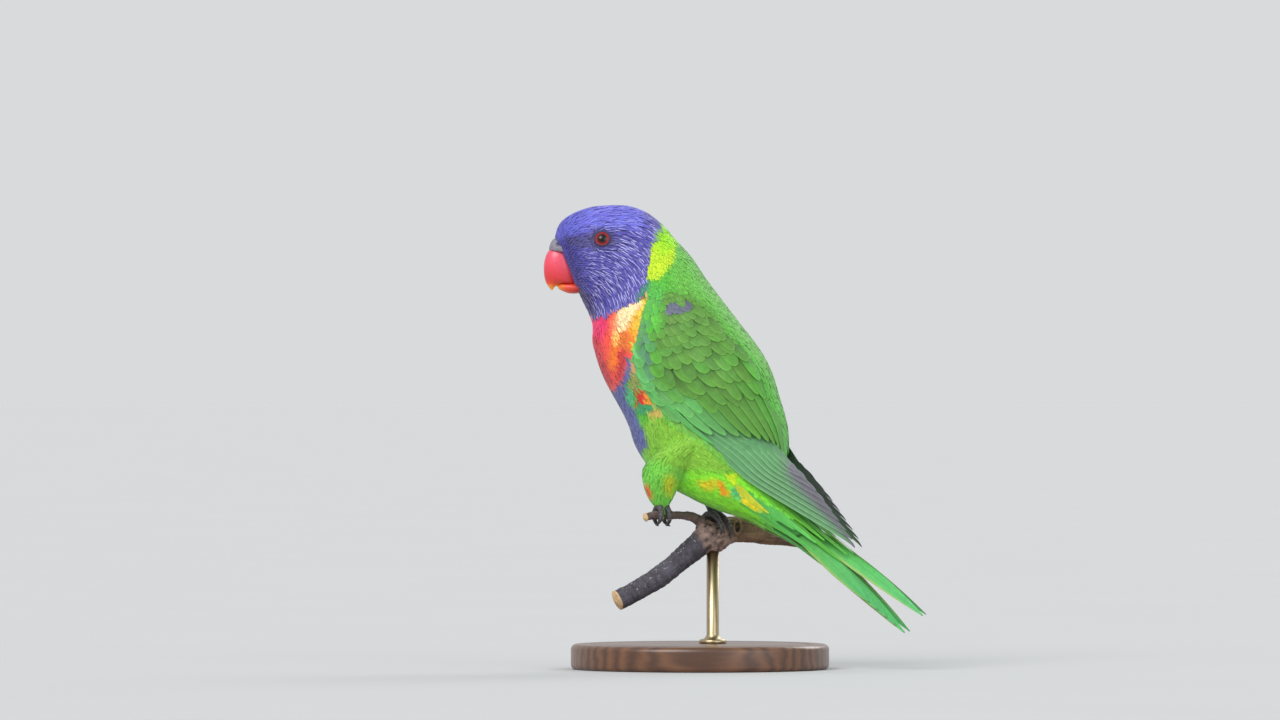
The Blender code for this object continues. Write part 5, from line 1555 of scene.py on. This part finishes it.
def add_covert(batch, row, k, seed, draw, near_wing):
    root, tip, number, shift = COVERTS[row]
    pitch = 0.96 / (number + shift)
    greater = ramp(row, 8.5, 10.0)
    v = min(max(0.02 + pitch * (k + 0.5 - (0.02 if shift else 0.0)), 0.03), 0.97)
    v = min(v, 1.0 - 0.62 * pitch) + draw.normal(0, 0.010)
    stretch, swing, broad = draw.uniform(0.90, 1.10), draw.normal(0, 0.016), draw.uniform(0.62, 0.74)

    def station(f, lift, wide):
        a = root + (tip - root) * f * stretch
        return *wing_surface(a, v + swing * f, lift), wide * (broad * pitch * wing_width(a))

    stations = [station(*at) for at in ((0.0, -1.0, 0.60), (0.3, -0.45, 0.92), (0.6, -0.10, 1.05),
                                          (0.85, 0.02, 0.86), (1.0, 0.04, 0.40))]
    tip_area = stations[3][0]
    base = wing_colour(tip_area, root + (tip - root) * 0.8, v, draw, 2.0) * draw.uniform(0.86, 1.10)
    base = base * draw.normal(1.0, 0.05, 3)
    if near_wing and inside(*seen_from_left(tip_area), DOWN_PATCH) > 0:
        base = tone(96, 100, 122) * draw.uniform(0.85, 1.1)
    # The painted shadow along the covered edge grows on the greater coverts; 0.50 is the painted shade at the root.
    shade = fringe(base, base * 1.14 + tone(150, 200, 70) * 0.08, 0.10 + 0.16 * greater, draw, 0.30, 0.50)
    batch.add(stations, shade, 14, 0.09, 0.08 + 0.12 * greater, 0.06, 0.02 + 0.06 * greater, 0.09,
              seed + 100 + row * 20 + k)


def add_edge_feather(batch, k, seed, draw):
    """Long narrow feather that binds the leading edge."""
    root, reach = 0.02 + 0.085 * k, 0.20 + 0.02 * k

    def station(f, lift, wide):
        return *wing_surface(root + reach * f, 0.975 - 0.05 * f, lift), 1.15 * wide

    stations = [station(*at) for at in ((0.0, -0.6, 0.6), (0.3, -0.15, 0.95), (0.6, 0.0, 1.0),
                                          (0.85, 0.02, 0.72), (1.0, 0.0, 0.3))]
    base = blend(tone(84, 160, 70), tone(94, 178, 92), ramp(k, 1.0, 2.5)) * draw.uniform(0.92, 1.08)
    batch.add(stations, fringe(base, base * 1.12, 0.10, draw), 20, 0.08, 0.12, 0.03, 0.02, 0.05, seed + 60 + k)


# %% Both wings
def add_wing(name, stands_for, flip, seed):
    batch, draw = FeatherBatch(9, flip), np.random.default_rng(seed)
    for k in range(PRIMARIES):
        add_primary(batch, k, seed, draw)
    for k in range(SECONDARIES):
        add_secondary(batch, k, seed, draw)
    for row in reversed(range(len(COVERTS))):
        number, shift = COVERTS[row][2:]
        for k in range(number + (1 if shift else 0)):
            add_covert(batch, row, k, seed, draw, not flip)
    for k in reversed(range(7)):
        add_edge_feather(batch, k, seed, draw)
    return dressed(batch.piece(name, flight_finish), "plumage_green", stands_for)


wing = add_wing("wing_feathers_left", "wing_left", False, 500)
add_wing("wing_feathers_right", "wing_right", True, 900)
print("wing triangles:", triangles(wing), "each")

# %% [markdown]
# ## Tail
# Twelve pointed feathers, six a side, lie one under another and step outward.
# The middle pair is the longest. Their inner vanes show yellow as thin lines between the
# green outer ones.

# %% Tail feathers
# Three points of the drawing that it runs through, sideways place of root and tip, half-width and roll
TAIL_ROWS = [((804, 527), (858, 564), (921, 614), 1.6, 3.3, 4.4, 47)] + [
    ((797, 530 + f * 2), (845 - 10 * f, 574 - 7 * f), (903 - 36 * f, 631 - 31 * f), 3.2 + 3.2 * f, 5.2 + 3.6 * f,
     3.7, 66 + 4 * f) for f in (0.0, 0.25, 0.5, 0.75, 1.0)]
TAIL_STATIONS = 12
TAIL_TAPER = ((0.0, 0.25, 0.5, 0.7, 0.85, 0.95, 1.0), (0.75, 0.95, 1.0, 0.82, 0.54, 0.27, 0.08))


def tail_shade(green):
    """Green that turns teal toward the tip, with a yellow inner vane and rims darkened as painted shade where the
    feathers lap.
    """
    def shade(w, s):
        colour = blend(green, tone(72, 176, 116), 0.6 * s[..., None])
        colour = blend(colour, tone(190, 186, 110), 0.5 * ramp(w, 0.55, 0.9)[..., None])
        # Painted shade: both rims darker, as thin dark lines between the feathers.
        return colour * (1 - 0.15 * ramp(np.abs(w), 0.9, 1.0)[..., None])
    return shade


def add_tail_feather(batch, k, side):
    start, middle, end, y_root, y_tip, half, roll = TAIL_ROWS[k]
    draw = np.random.default_rng(700 + k + (20 if side > 0 else 0))
    f = np.linspace(0.0, 1.0, TAIL_STATIONS)
    u, v = ((1 - f) ** 2 * p0 + 2 * f * (1 - f) * (2 * p1 - (p0 + p2) / 2) + f * f * p2
            for p0, p1, p2 in zip(start, middle, end))
    y = y_root + (y_tip - y_root) * f
    centres = drawn(u, v, -y)
    centres[:, 1] = side * y
    centres[:, 2] += 0.45 if side > 0 else 0.0
    roll = math.radians(roll)
    normal = np.array((0.63 * math.cos(roll), side * math.sin(roll), 0.78 * math.cos(roll)))
    halves = half * np.interp(f, *TAIL_TAPER)
    green = tone(92, 186, 76) * (1 - 0.03 * k) * draw.uniform(0.95, 1.05)
    batch.add([(centre, normal, wide) for centre, wide in zip(centres, halves)], tail_shade(green), 40, 0.36,
              0.25 * side if k else 0.0, 0.14, 0.16, 0.010, 730 + k)


batch = FeatherBatch(11)
for side in (-1, 1):
    for k in range(len(TAIL_ROWS)):
        add_tail_feather(batch, k, side)
tail = dressed(batch.piece("tail_feathers", tail_finish), "plumage_green", "tail")
print("tail triangles:", triangles(tail))

# %% Tail coverts: long smooth feathers that lead from the body to the tail
# Root and tip in rows of the body, and how many go round it
TAIL_COVERTS = ((18.2, 20.6, 15), (18.9, 21.6, 14), (19.6, 22.8, 13), (20.4, 24.0, 12))


def add_tail_covert(batch, row, k, draw):
    root, tip, number = TAIL_COVERTS[row]
    angle = 360.0 * (k + 0.5 * (row % 2) + draw.normal(0, 0.06)) / number
    under = ramp(folded(angle), 115.0, 165.0)

    def station(f, lift, wide):
        t = root + (tip - root) * f * draw.uniform(0.97, 1.03)
        drop = 0.25 * max(t - 22.0, 0.0) + 1.2 * under * max(t - 21.0, 0.0)
        girth = np.linalg.norm(body(min(t, 22.0), angle + 5.0)[0] - body(min(t, 22.0), angle - 5.0)[0])
        return *body(t, angle, lift - drop), wide * max(7.2 * girth / number, 0.9)

    stations = [station(*at) for at in ((0.0, -0.8, 0.6), (0.3, -0.35, 0.95), (0.6, -0.1, 1.0),
                                          (0.85, 0.0, 0.74), (1.0, 0.0, 0.3))]
    base = markings(*seen_from_left(stations[2][0]), root + 1.0, angle) * draw.uniform(0.92, 1.08)
    batch.add(stations, fringe(base, base * 1.1, 0.05, draw), 18, 0.10, 0.0, 0.08, 0.03, 0.06, 770 + row * 20 + k)


batch, draw = FeatherBatch(7), np.random.default_rng(760)
for row in reversed(range(len(TAIL_COVERTS))):
    for k in range(TAIL_COVERTS[row][2]):
        add_tail_covert(batch, row, k, draw)
coverts = dressed(batch.piece("tail_covert_feathers", tail_finish), "plumage_green")
print("tail covert triangles:", triangles(coverts))

# %% [markdown]
# ## Feet and claws
# Two toes go forward and two back over the branch. Each toe is a sweep along its path whose
# rings swell at the joints and step at every scute. A voxel remesh then joins the toes and
# the shank in one skin, and each claw is a separate curved horn.

# %% Sweeps
def sweep(name, path, radii, columns, material, plates=None):
    """Closed tube along points; plates(rows, around) scales the radius."""
    path, radii = np.asarray(path, float), np.asarray(radii, float)
    rows = len(path)
    ahead = unit(np.gradient(path, axis=0))
    sides = [unit(np.cross(ahead[0], UP if abs(ahead[0][2]) < 0.9 else SIDEWAYS))]
    for k in range(1, rows):
        sides.append(unit(sides[-1] - ahead[k] * np.dot(sides[-1], ahead[k])))
    sides = np.array(sides)
    a = turns(columns)[None]
    radius = radii[:, None] * (plates(rows, a) if plates else 1.0)
    round_path = np.cos(a)[..., None] * sides[:, None] + np.sin(a)[..., None] * np.cross(ahead, sides)[:, None]
    caps = path[0] - ahead[0] * radii[0] * 0.35, path[-1] + ahead[-1] * radii[-1] * 0.35
    place = np.stack(np.broadcast_arrays(np.linspace(0, 1, rows)[:, None], a / (2 * math.pi), 0.0), axis=-1)
    return loft(name, with_ends(path[:, None] + radius[..., None] * round_path, caps), (rows, columns),
                {"horn": with_ends(place, ((0, 0, 0), (1, 0, 0)))}, material)


def finer(path, radii, count):
    """More points and radii along a smooth curve through the given ones."""
    fine = through(np.concatenate((path, np.asarray(radii)[:, None]), axis=1), np.linspace(0, len(path) - 1, count))
    return fine[:, :3], fine[:, 3]


def joined(pieces):
    """One mesh in work from several pieces, which go."""
    work = bmesh.new()
    for piece in pieces:
        work.from_mesh(piece.data)
        bpy.data.objects.remove(piece, do_unlink=True)
    return work


def object_of(work, name):
    mesh = bpy.data.meshes.new(name)
    work.to_mesh(mesh)
    work.free()
    return linked(name, mesh)


def remesh(piece, voxel, smooth):
    close = piece.modifiers.new("close", "REMESH")
    close.mode, close.voxel_size, close.use_smooth_shade = "VOXEL", voxel * MM, smooth


# %% Toes
BRANCH_PLAN = math.radians(41.0)
BRANCH = np.array((math.cos(BRANCH_PLAN), math.sin(BRANCH_PLAN), 0.0))
KNOT_AT, KNOT_RADIUS = np.array((6.7, 10.6, 64.0)), 8.5
TWIG_AT, TWIG_RADIUS = np.array((-18.2, -7.5, (DRAW_V - 515) * GRID)), 2.3
TWIG_RUN = unit((TWIG_AT - KNOT_AT) * (1, 1, 0))
TOE_RADIUS, TOE_POINTS, SKIN_GAP = 1.65, 9, 0.3
CLAW_BEND, CLAW_LENGTH = math.radians(62), 5.2
# Place, direction and radius of the branch, place of the ankle, and how far each toe goes round, in degrees
FEET = {"left": (TWIG_AT, -TWIG_RUN, TWIG_RADIUS, drawn(660.5, 499, -12.0), (122, 112, 104, 112)),
        "right": (KNOT_AT, BRANCH, KNOT_RADIUS, drawn(699, 488.5, 12.4), (78, 70, 62, 66))}
# Forward or back, place along the branch and splay of each toe
TOES = ((1, 2.1, 2.4), (1, -1.1, -0.4), (-1, -2.3, -2.2), (-1, 0.8, 0.8))


def toe_path(axis_at, run, front, radius, offset, splay, reach):
    """Path of a toe over the branch, and its radii, which swell at the joints."""
    ring = radius + SKIN_GAP + TOE_RADIUS
    f = np.linspace(0.0, 1.0, TOE_POINTS)[:, None]
    a = np.radians(reach * f - 9.0 * (1.0 - f) * (1.0 + 0.13 * offset))
    return axis_at + run * (offset + splay * f) + ring * (np.sin(a) * front + np.cos(a) * UP)


def claw_path(toe, axis_at, run):
    """Curved path and radii of the claw at the end of a toe."""
    way = unit(toe[-1] - toe[-2])
    inward = axis_at - toe[-1]
    inward = inward - run * np.dot(inward, run)
    inward = unit(inward - way * np.dot(inward, way))
    f = np.linspace(0.0, 1.0, 22)
    bend, reach = CLAW_BEND * f[:, None], CLAW_LENGTH / CLAW_BEND
    claw = toe[-1] + way * (0.05 + reach * np.sin(bend)) + inward * (reach * (1 - np.cos(bend)) - 0.22)
    return claw, 1.05 * (1 - f) ** 0.8 + 0.13


def scutes(count, depth):
    """Radius steps of overlapping plates along a toe, strongest on its upper side."""
    def plates(rows, around):
        step = np.linspace(0, count, rows)[:, None] % 1.0
        return 1.0 + depth * (step ** 2 - 0.35) * (0.55 + 0.45 * np.cos(around - math.pi / 2) ** 2)
    return plates


# %% Feet
def add_foot(kind):
    axis_at, run, radius, ankle, reaches = FEET[kind]
    front = np.array((-run[1], run[0], 0.0))
    toes = [toe_path(axis_at, run, front * ahead, radius, offset, splay * reach / (reach + 40), reach)
            for (ahead, offset, splay), reach in zip(TOES, reaches)]
    parts, i = [], np.arange(TOE_POINTS)
    for k, toe in enumerate(toes):
        radii = TOE_RADIUS * (1.10 - 0.30 * i / (TOE_POINTS - 1) + 0.07 * (i % 2)) - 0.10 - 0.03 * k
        parts.append(sweep("toe", *finer(toe, radii, 90), 28, foot_finish, scutes(11, 0.16)))
    top, ankle = axis_at + UP * (radius + SKIN_GAP + TOE_RADIUS + 0.5), posed(ankle)
    shank = np.array((top - UP * 1.3 + run * 0.2, top, 0.45 * top + 0.55 * ankle, ankle))
    parts.append(sweep("shank", *finer(shank, (2.5, 2.35, 1.75, 1.9), 60), 32, foot_finish, scutes(6, 0.12)))
    name = "foot_skin_" + kind
    foot = object_of(joined(parts), name)
    remesh(foot, 0.24, True)
    foot = realized(foot, name, ())
    smooth_with(foot, foot_finish)
    dressed(foot, "foot_skin", "foot_" + kind)
    for k, toe in enumerate(toes):
        label = "%s_%d" % (kind, k + 1)
        claw = sweep("claw_horn_" + label, *claw_path(toe, axis_at, run), 18, claw_finish)
        dressed(claw, "claw_horn", "claw_" + label)
    return foot


for kind in FEET:
    print("foot", kind, "has", len(add_foot(kind).data.polygons), "faces")

# %% [markdown]
# ## The cut length of branch
# Three limbs meet at a knot. They are swept from the same lines as the solid and joined by a
# voxel remesh. Each point then learns its place in its own limb, so that a Geometry Nodes tree
# can raise ridges across the grey limb, lines along the brown one and lumps on the knot.

# %% Limbs of the branch
# Rows of grid place, sideways place and radius, for the twig, the left limb and the right limb
LIMBS = (
    ((701, 522, 7.5, 2.9), (692, 517, 3.4, 2.6), (680, 515, -0.2, 2.3), (DRAW_U + TWIG_AT[0] / GRID, 515, -7.5, 2.3),
     (652, 515.5, -10.2, 2.25), (645, 517, -12.4, 2.2)),
    ((708, 537, 9.5, 6.6), (694, 549, 6.8, 6.1), (678, 562, 4.0, 5.6), (662, 575, 1.0, 5.5),
     (646, 585, -1.6, 5.3), (632, 593, -3.8, 5.2), (617, 600, -6.4, 5.1)),
    ((716, 533, 11.0, 7.0), (732, 530.5, 15.4, 6.5), (750, 531, 18.6, 6.2), (770, 533, 21.2, 6.3),
     (789, 535, 23.6, 6.1), (802, 536, 25.2, 6.0)))
LIMB_BROWN = (0.4, 0.0, 1.0)
LIMB_APART = 60.0
SCAR_AT = ((738.0 - DRAW_U) * GRID, (DRAW_V - 527.0) * GRID)


def limb_path(rows, count):
    u, v, y, radii = np.array(rows).T
    return finer(np.stack(((u - DRAW_U) * GRID, y, (DRAW_V - v) * GRID), axis=1), radii, count)


def limb_values(points):
    """Place of each point in its own limb; how far it is knot, brown limb or cut end; and the oval scar."""
    best = np.full(len(points), 1e9)
    place, kind = np.zeros((len(points), 3)), np.zeros((len(points), 3))
    for k, rows in enumerate(LIMBS):
        centre, radii = limb_path(rows, 120)
        ahead = unit(np.gradient(centre, axis=0))
        run = np.concatenate(((0.0,), np.cumsum(np.linalg.norm(np.diff(centre, axis=0), axis=1))))
        off = np.linalg.norm(points[:, None] - centre[None], axis=2)
        i = off.argmin(axis=1)
        gap = off[np.arange(len(points)), i] - radii[i]
        side = unit(np.cross(ahead, UP))
        step = points - centre[i]
        local = np.concatenate((run[i][:, None] + dot(step, ahead[i]), dot(step, side[i]),
                                dot(step, np.cross(side, ahead)[i])), axis=1)
        near = gap < best
        best[near] = gap[near]
        place[near] = local[near] + (LIMB_APART * k, 0.0, 0.0)
        kind[near, 1] = LIMB_BROWN[k]
        kind[near, 2] = ramp(local[near, 0], run[-1] - 0.75, run[-1] - 0.25)
    kind[:, 0] = ramp(-np.linalg.norm(points - KNOT_AT, axis=1), -13.0, -8.6)
    oval = np.hypot((points[:, 0] - SCAR_AT[0]) / 1.7, (points[:, 2] - SCAR_AT[1]) / 3.4)
    scar = np.where(points[:, 1] < 14.0, np.exp(-((oval - 1.0) / 0.22) ** 2) - 0.7 * ramp(-oval, -0.9, -0.6), 0.0)
    return {"limb_at": place, "limb_kind": kind, "scar": scar}


# %% The bark's relief
def bark_tree():
    g = GeometryGroup("Bark", ("Depth", "Float", 0.0006))
    at = g.add("GeometryNodeInputPosition").outputs[0]
    limb = g.attribute("limb_at")
    knot, brown, cut = g.split(g.attribute("limb_kind"))

    def rough(vector, stretch, scale, detail):
        squeezed = g.vector("MULTIPLY", a=vector, b=stretch).outputs[0]
        made = g.add("ShaderNodeTexNoise", {"Vector": squeezed, "Scale": scale, "Detail": detail})
        return g.math("SUBTRACT", made.outputs[0], 0.5)

    def plus(first, second):
        return g.math("ADD", first, second)

    even = (1.0, 1.0, 1.0)
    rings, lines = rough(limb, (1.0, 0.16, 0.16), 0.62, 2.0), rough(limb, (0.09, 1.0, 1.0), 0.75, 3.0)
    lumps, knobs, fine = rough(at, even, 90.0, 2.0), rough(at, even, 300.0, 4.0), rough(at, even, 900.0, 3.0)
    grooves = plus(g.product(lines, g.math("MULTIPLY_ADD", brown, 1.0, 0.35)),
                   g.product(rings, g.math("MULTIPLY_ADD", brown, -0.55, 0.8)))
    knobs = g.product(knobs, g.math("MULTIPLY_ADD", knot, 2.2, 0.25))
    height = plus(plus(grooves, g.product(lumps, 1.2)), plus(knobs, g.product(fine, 0.35)))
    height = g.math("SUBTRACT", plus(height, g.product(g.attribute("scar", "FLOAT"), 0.55)), 0.3)
    height = g.product(height, g.math("SUBTRACT", 1.0, cut))
    normal = g.add("GeometryNodeInputNormal").outputs[0]
    moved = g.moved(g.inputs["Geometry"], normal, g.product(height, g.inputs["Depth"]))
    return g.give(g.realized(g.stored(moved, "bark_height", height, "FLOAT")))


# %% The bark's finish
def lichen_on(m, brown):
    """Small ragged crusts of lichen, most of them on the upper side of the grey limb: mask and strength."""
    ragged = m.noise(m.place(), 1300.0, 3.0)["Color"]
    shifted = m.vector("MULTIPLY_ADD", a=ragged, b=(0.0022, 0.0022, 0.0022), c=m.place()).outputs[0]
    spots = m.add("ShaderNodeTexVoronoi", {"Scale": 760.0, "Vector": shifted}, feature="F1").outputs
    chance = m.add("ShaderNodeSeparateColor", {0: spots["Color"]}).outputs
    reach = m.product(m.math("SUBTRACT", chance[0], 0.30), 0.85,
                      m.math("MULTIPLY_ADD", m.attribute("top"), 0.35, 0.65), m.math("MULTIPLY_ADD", brown, -0.6, 1.0))
    mask = m.span(m.product(m.math("SUBTRACT", reach, spots["Distance"]), 9.0), {})
    return mask, m.product(mask, m.math("MULTIPLY_ADD", chance[1], 0.45, 0.25))


def cut_wood(m, limb):
    """Pale wood with rings round the middle of the limb."""
    spoke = m.vector("MULTIPLY", a=limb, b=(0.0, 1.0, 1.0)).outputs[0]
    span = m.vector("LENGTH", a=spoke).outputs["Value"]
    rings = m.math("MULTIPLY_ADD", m.math("SINE", m.product(span, 9.0)), 0.5, 0.5)
    return m.mix(rings, tone(186, 152, 112), tone(206, 178, 138))


def bark_finish():
    m = Finish("bark")
    knot, brown, cut = m.split(m.attribute("limb_kind", "Vector"))
    # Grey on the lower left limb, reddish brown on the right one, brown on the knot
    base = m.mix(brown, tone(84, 81, 92), tone(154, 124, 100))
    edge = m.math("ADD", knot, m.math("SUBTRACT", m.noise(m.place(), 330.0, 4.0)["Fac"], 0.5))
    base = m.mix(m.span(edge, {1: 0.2, 2: 0.8, 4: 0.85}), base, tone(160, 134, 124))
    # Low places of the relief turn dark: partly the bark's own darker fissures, partly painted shade in the grooves.
    base = m.mix(m.span(m.attribute("bark_height"), {1: -0.85, 2: 0.0}), tone(44, 38, 38), base)
    lichen, crust = lichen_on(m, brown)
    base = m.mix(crust, base, tone(176, 172, 170))
    base = m.mix(cut, base, cut_wood(m, m.attribute("limb_at", "Vector")))
    patchy = m.mottled(base, 500.0, 0.45)
    height = m.math("MULTIPLY_ADD", lichen, 0.35, patchy["Mask"])
    return m.finished(Base_Color=patchy["Color"], Normal=m.bump(height, 0.8, 0.0004), Roughness=0.85,
                      Specular_IOR_Level=0.25)


# %% Perch
def add_perch():
    bark = bark_finish()
    work = joined([sweep("limb", *limb_path(rows, 80), 48, bark) for rows in LIMBS])
    size = Matrix.Diagonal((KNOT_RADIUS * 1.14 * MM, KNOT_RADIUS * 0.985 * MM, KNOT_RADIUS * MM, 1.0))
    place = Matrix.Translation(Vector(KNOT_AT * MM)) @ Matrix.Rotation(BRANCH_PLAN, 4, "Z") @ size
    bmesh.ops.create_uvsphere(work, u_segments=48, v_segments=32, radius=1.0, matrix=place)
    holder = object_of(work, "perch_wood")
    remesh(holder, 0.42, False)
    holder.modifiers.new("smooth", "SMOOTH").iterations = 3
    holder = realized(holder, "perch_smooth", ())
    facing = read_values(holder.data.vertex_normals, "vector")
    values = limb_values(read_values(holder.data.vertices, "co") / MM)
    write_values(holder.data, {**values, "top": facing[:, 2]})
    add_tree(holder, bark_tree(), Depth=0.0011, Material=bark)
    perch = realized(holder, "perch_wood", ("scar",))
    perch.data.shade_smooth()
    return dressed(perch, "bark", "perch")


print("perch:", len(add_perch().data.polygons), "faces")

# %% [markdown]
# ## The stand
# A plain turned base and one metal rod hold the branch. The base is a lathe form: a profile
# turned about an upright axis, with a shallow groove and a rounded rim.

# %% Stand finishes
def wood_finish():
    m = Finish("stand_wood")
    rings = m.add("ShaderNodeTexWave", {"Vector": m.stretched((0.10, 1.0, 1.0)), "Scale": 60.0, "Distortion": 6.0,
                                        "Detail": 4.0, "Detail Scale": 1.5},
                  wave_type="BANDS", bands_direction="Y").outputs["Fac"]
    base = m.mix(rings, tone(74, 46, 30), tone(104, 68, 44))
    return m.finished(Base_Color=m.mottled(base, 60.0, 0.25)["Color"], Normal=m.bump(rings, 0.15, 0.0002),
                      Roughness=0.38, Coat_Weight=0.3, Coat_Roughness=0.25)


def metal_finish():
    m = Finish("stand_metal")
    patchy = m.mottled((*tone(176, 160, 128), 1.0), 240.0, 0.12)
    return m.finished(Base_Color=patchy["Color"], Roughness=m.span(patchy["Mask"], {3: 0.26, 4: 0.42}), Metallic=1.0)


# %% Stand
def lathe(name, profile, centre, columns, material):
    """Closed form from a profile of radius and height, turned about an upright axis at centre."""
    radius, height = np.array(profile)[..., None].swapaxes(0, 1)
    a = turns(columns)[None]
    points = np.stack(np.broadcast_arrays(centre[0] + radius * np.cos(a), centre[1] + radius * np.sin(a), height),
                      axis=-1)
    ends = [(*centre, profile[k][1]) for k in (0, -1)]
    return loft(name, with_ends(points, ends), (len(profile), columns), {}, material)


BASE_RADIUS, BASE_TOP, RIM_LOW, RIM_HIGH = 62.0, 12.0, 2.2, 2.6
ROD_AT, ROD_RADIUS, ROD_TOP = (6.2, 10.6), 3.0, 60.4
a = np.linspace(0, math.pi / 2, 10)
low_rim = [(BASE_RADIUS - RIM_LOW * (1 - math.sin(x)), RIM_LOW * (1 - math.cos(x))) for x in a]
high_rim = [(BASE_RADIUS - RIM_HIGH * (1 - math.cos(x)), BASE_TOP - RIM_HIGH * (1 - math.sin(x))) for x in a]
groove = [(54.5, 12.0), (53.6, 11.7), (53.0, 11.1), (52.2, 11.1), (51.6, 11.7), (50.7, 12.0)]
middle = [(30.0, 12.0), (10.0, 12.0), (0.5, 12.0)]
collar = [(0.4, 11.9), (6.2, 11.9), (6.6, 12.3), (6.6, 13.4), (6.2, 13.9), (4.4, 14.3), (3.6, 15.0), (3.2, 15.8),
          (3.0, 16.2)]
base = lathe("stand_base_turned", [(0.5, 0.0)] + low_rim + high_rim + groove + middle, (0.0, 0.0), 128, wood_finish())
rod = lathe("stand_rod_turned", collar + [(ROD_RADIUS, ROD_TOP), (0.4, ROD_TOP)], ROD_AT, 48, metal_finish())
dressed(base, "stand_wood", "stand_base")
dressed(rod, "stand_metal", "stand_rod")
print("stand made")

# %% [markdown]
# ## Floor, light and camera
# A pale floor reaches far past the frame. One large soft lamp stands high at the left, a weaker
# one fills from the right, and a third behind edges the feathers. The camera looks level from
# five metres away, as a long lens does, so the bird's proportions stay true.

# %% Studio
def add_floor():
    m = Finish("floor")
    pale = m.mottled((0.469, 0.477, 0.485, 1.0), 6.0, 0.02)["Color"]
    radii, a = np.array((1.0, 400.0, 2000.0, 8000.0, 30000.0))[:, None], turns(64)
    points = np.stack((radii * np.cos(a), radii * np.sin(a), np.zeros((5, 64))), axis=-1)
    i = np.arange(64)
    mesh_piece("floor", np.concatenate((points.reshape(-1, 3), ((0, 0, 0),))), grid_faces(5, 64)[:, ::-1],
                        {}, m.finished(Base_Color=pale, Roughness=0.9, Specular_IOR_Level=0.1),
                        np.stack((i, (i + 1) % 64, np.full(64, 5 * 64)), axis=1))


def add_sun(name, direction, strength, degrees, shade):
    """Even light from far away; a wide sun gives soft shadows, as a large lamp does."""
    lamp = bpy.data.lights.new(name, "SUN")
    lamp.energy, lamp.angle, lamp.color = strength, math.radians(degrees), shade
    linked(name, lamp).rotation_euler = (-Vector(direction)).to_track_quat("-Z", "Y").to_euler()


add_floor()
add_sun("key", (-0.55, -0.85, 0.85), 2.35, 40.0, (1.0, 0.98, 0.95))
add_sun("fill", (0.9, -0.9, 0.4), 0.9, 50.0, (0.94, 0.97, 1.0))
add_sun("rim", (0.7, 0.9, 0.8), 1.0, 30.0, (1.0, 1.0, 1.0))
world = bpy.data.worlds.new("studio")
world.use_nodes = True
sky = world.node_tree.nodes["Background"].inputs
sky[0].default_value, sky[1].default_value = (0.93, 0.95, 0.97, 1.0), 0.74
bpy.context.scene.world = world
bpy.context.scene.view_settings.view_transform = "Standard"

CAMERA_DISTANCE, FRAME_WIDTH, SENSOR = 5.0, 0.6144, 36.0
lens = bpy.data.cameras.new("camera")
lens.sensor_width, lens.lens, lens.clip_end = SENSOR, SENSOR * CAMERA_DISTANCE / FRAME_WIDTH, 100.0
camera = linked("camera", lens)
camera.location = (-0.0288, -CAMERA_DISTANCE, 0.14832)
camera.rotation_euler = (math.pi / 2, 0.0, 0.0)
bpy.context.scene.camera = camera
print("camera and lamps set")
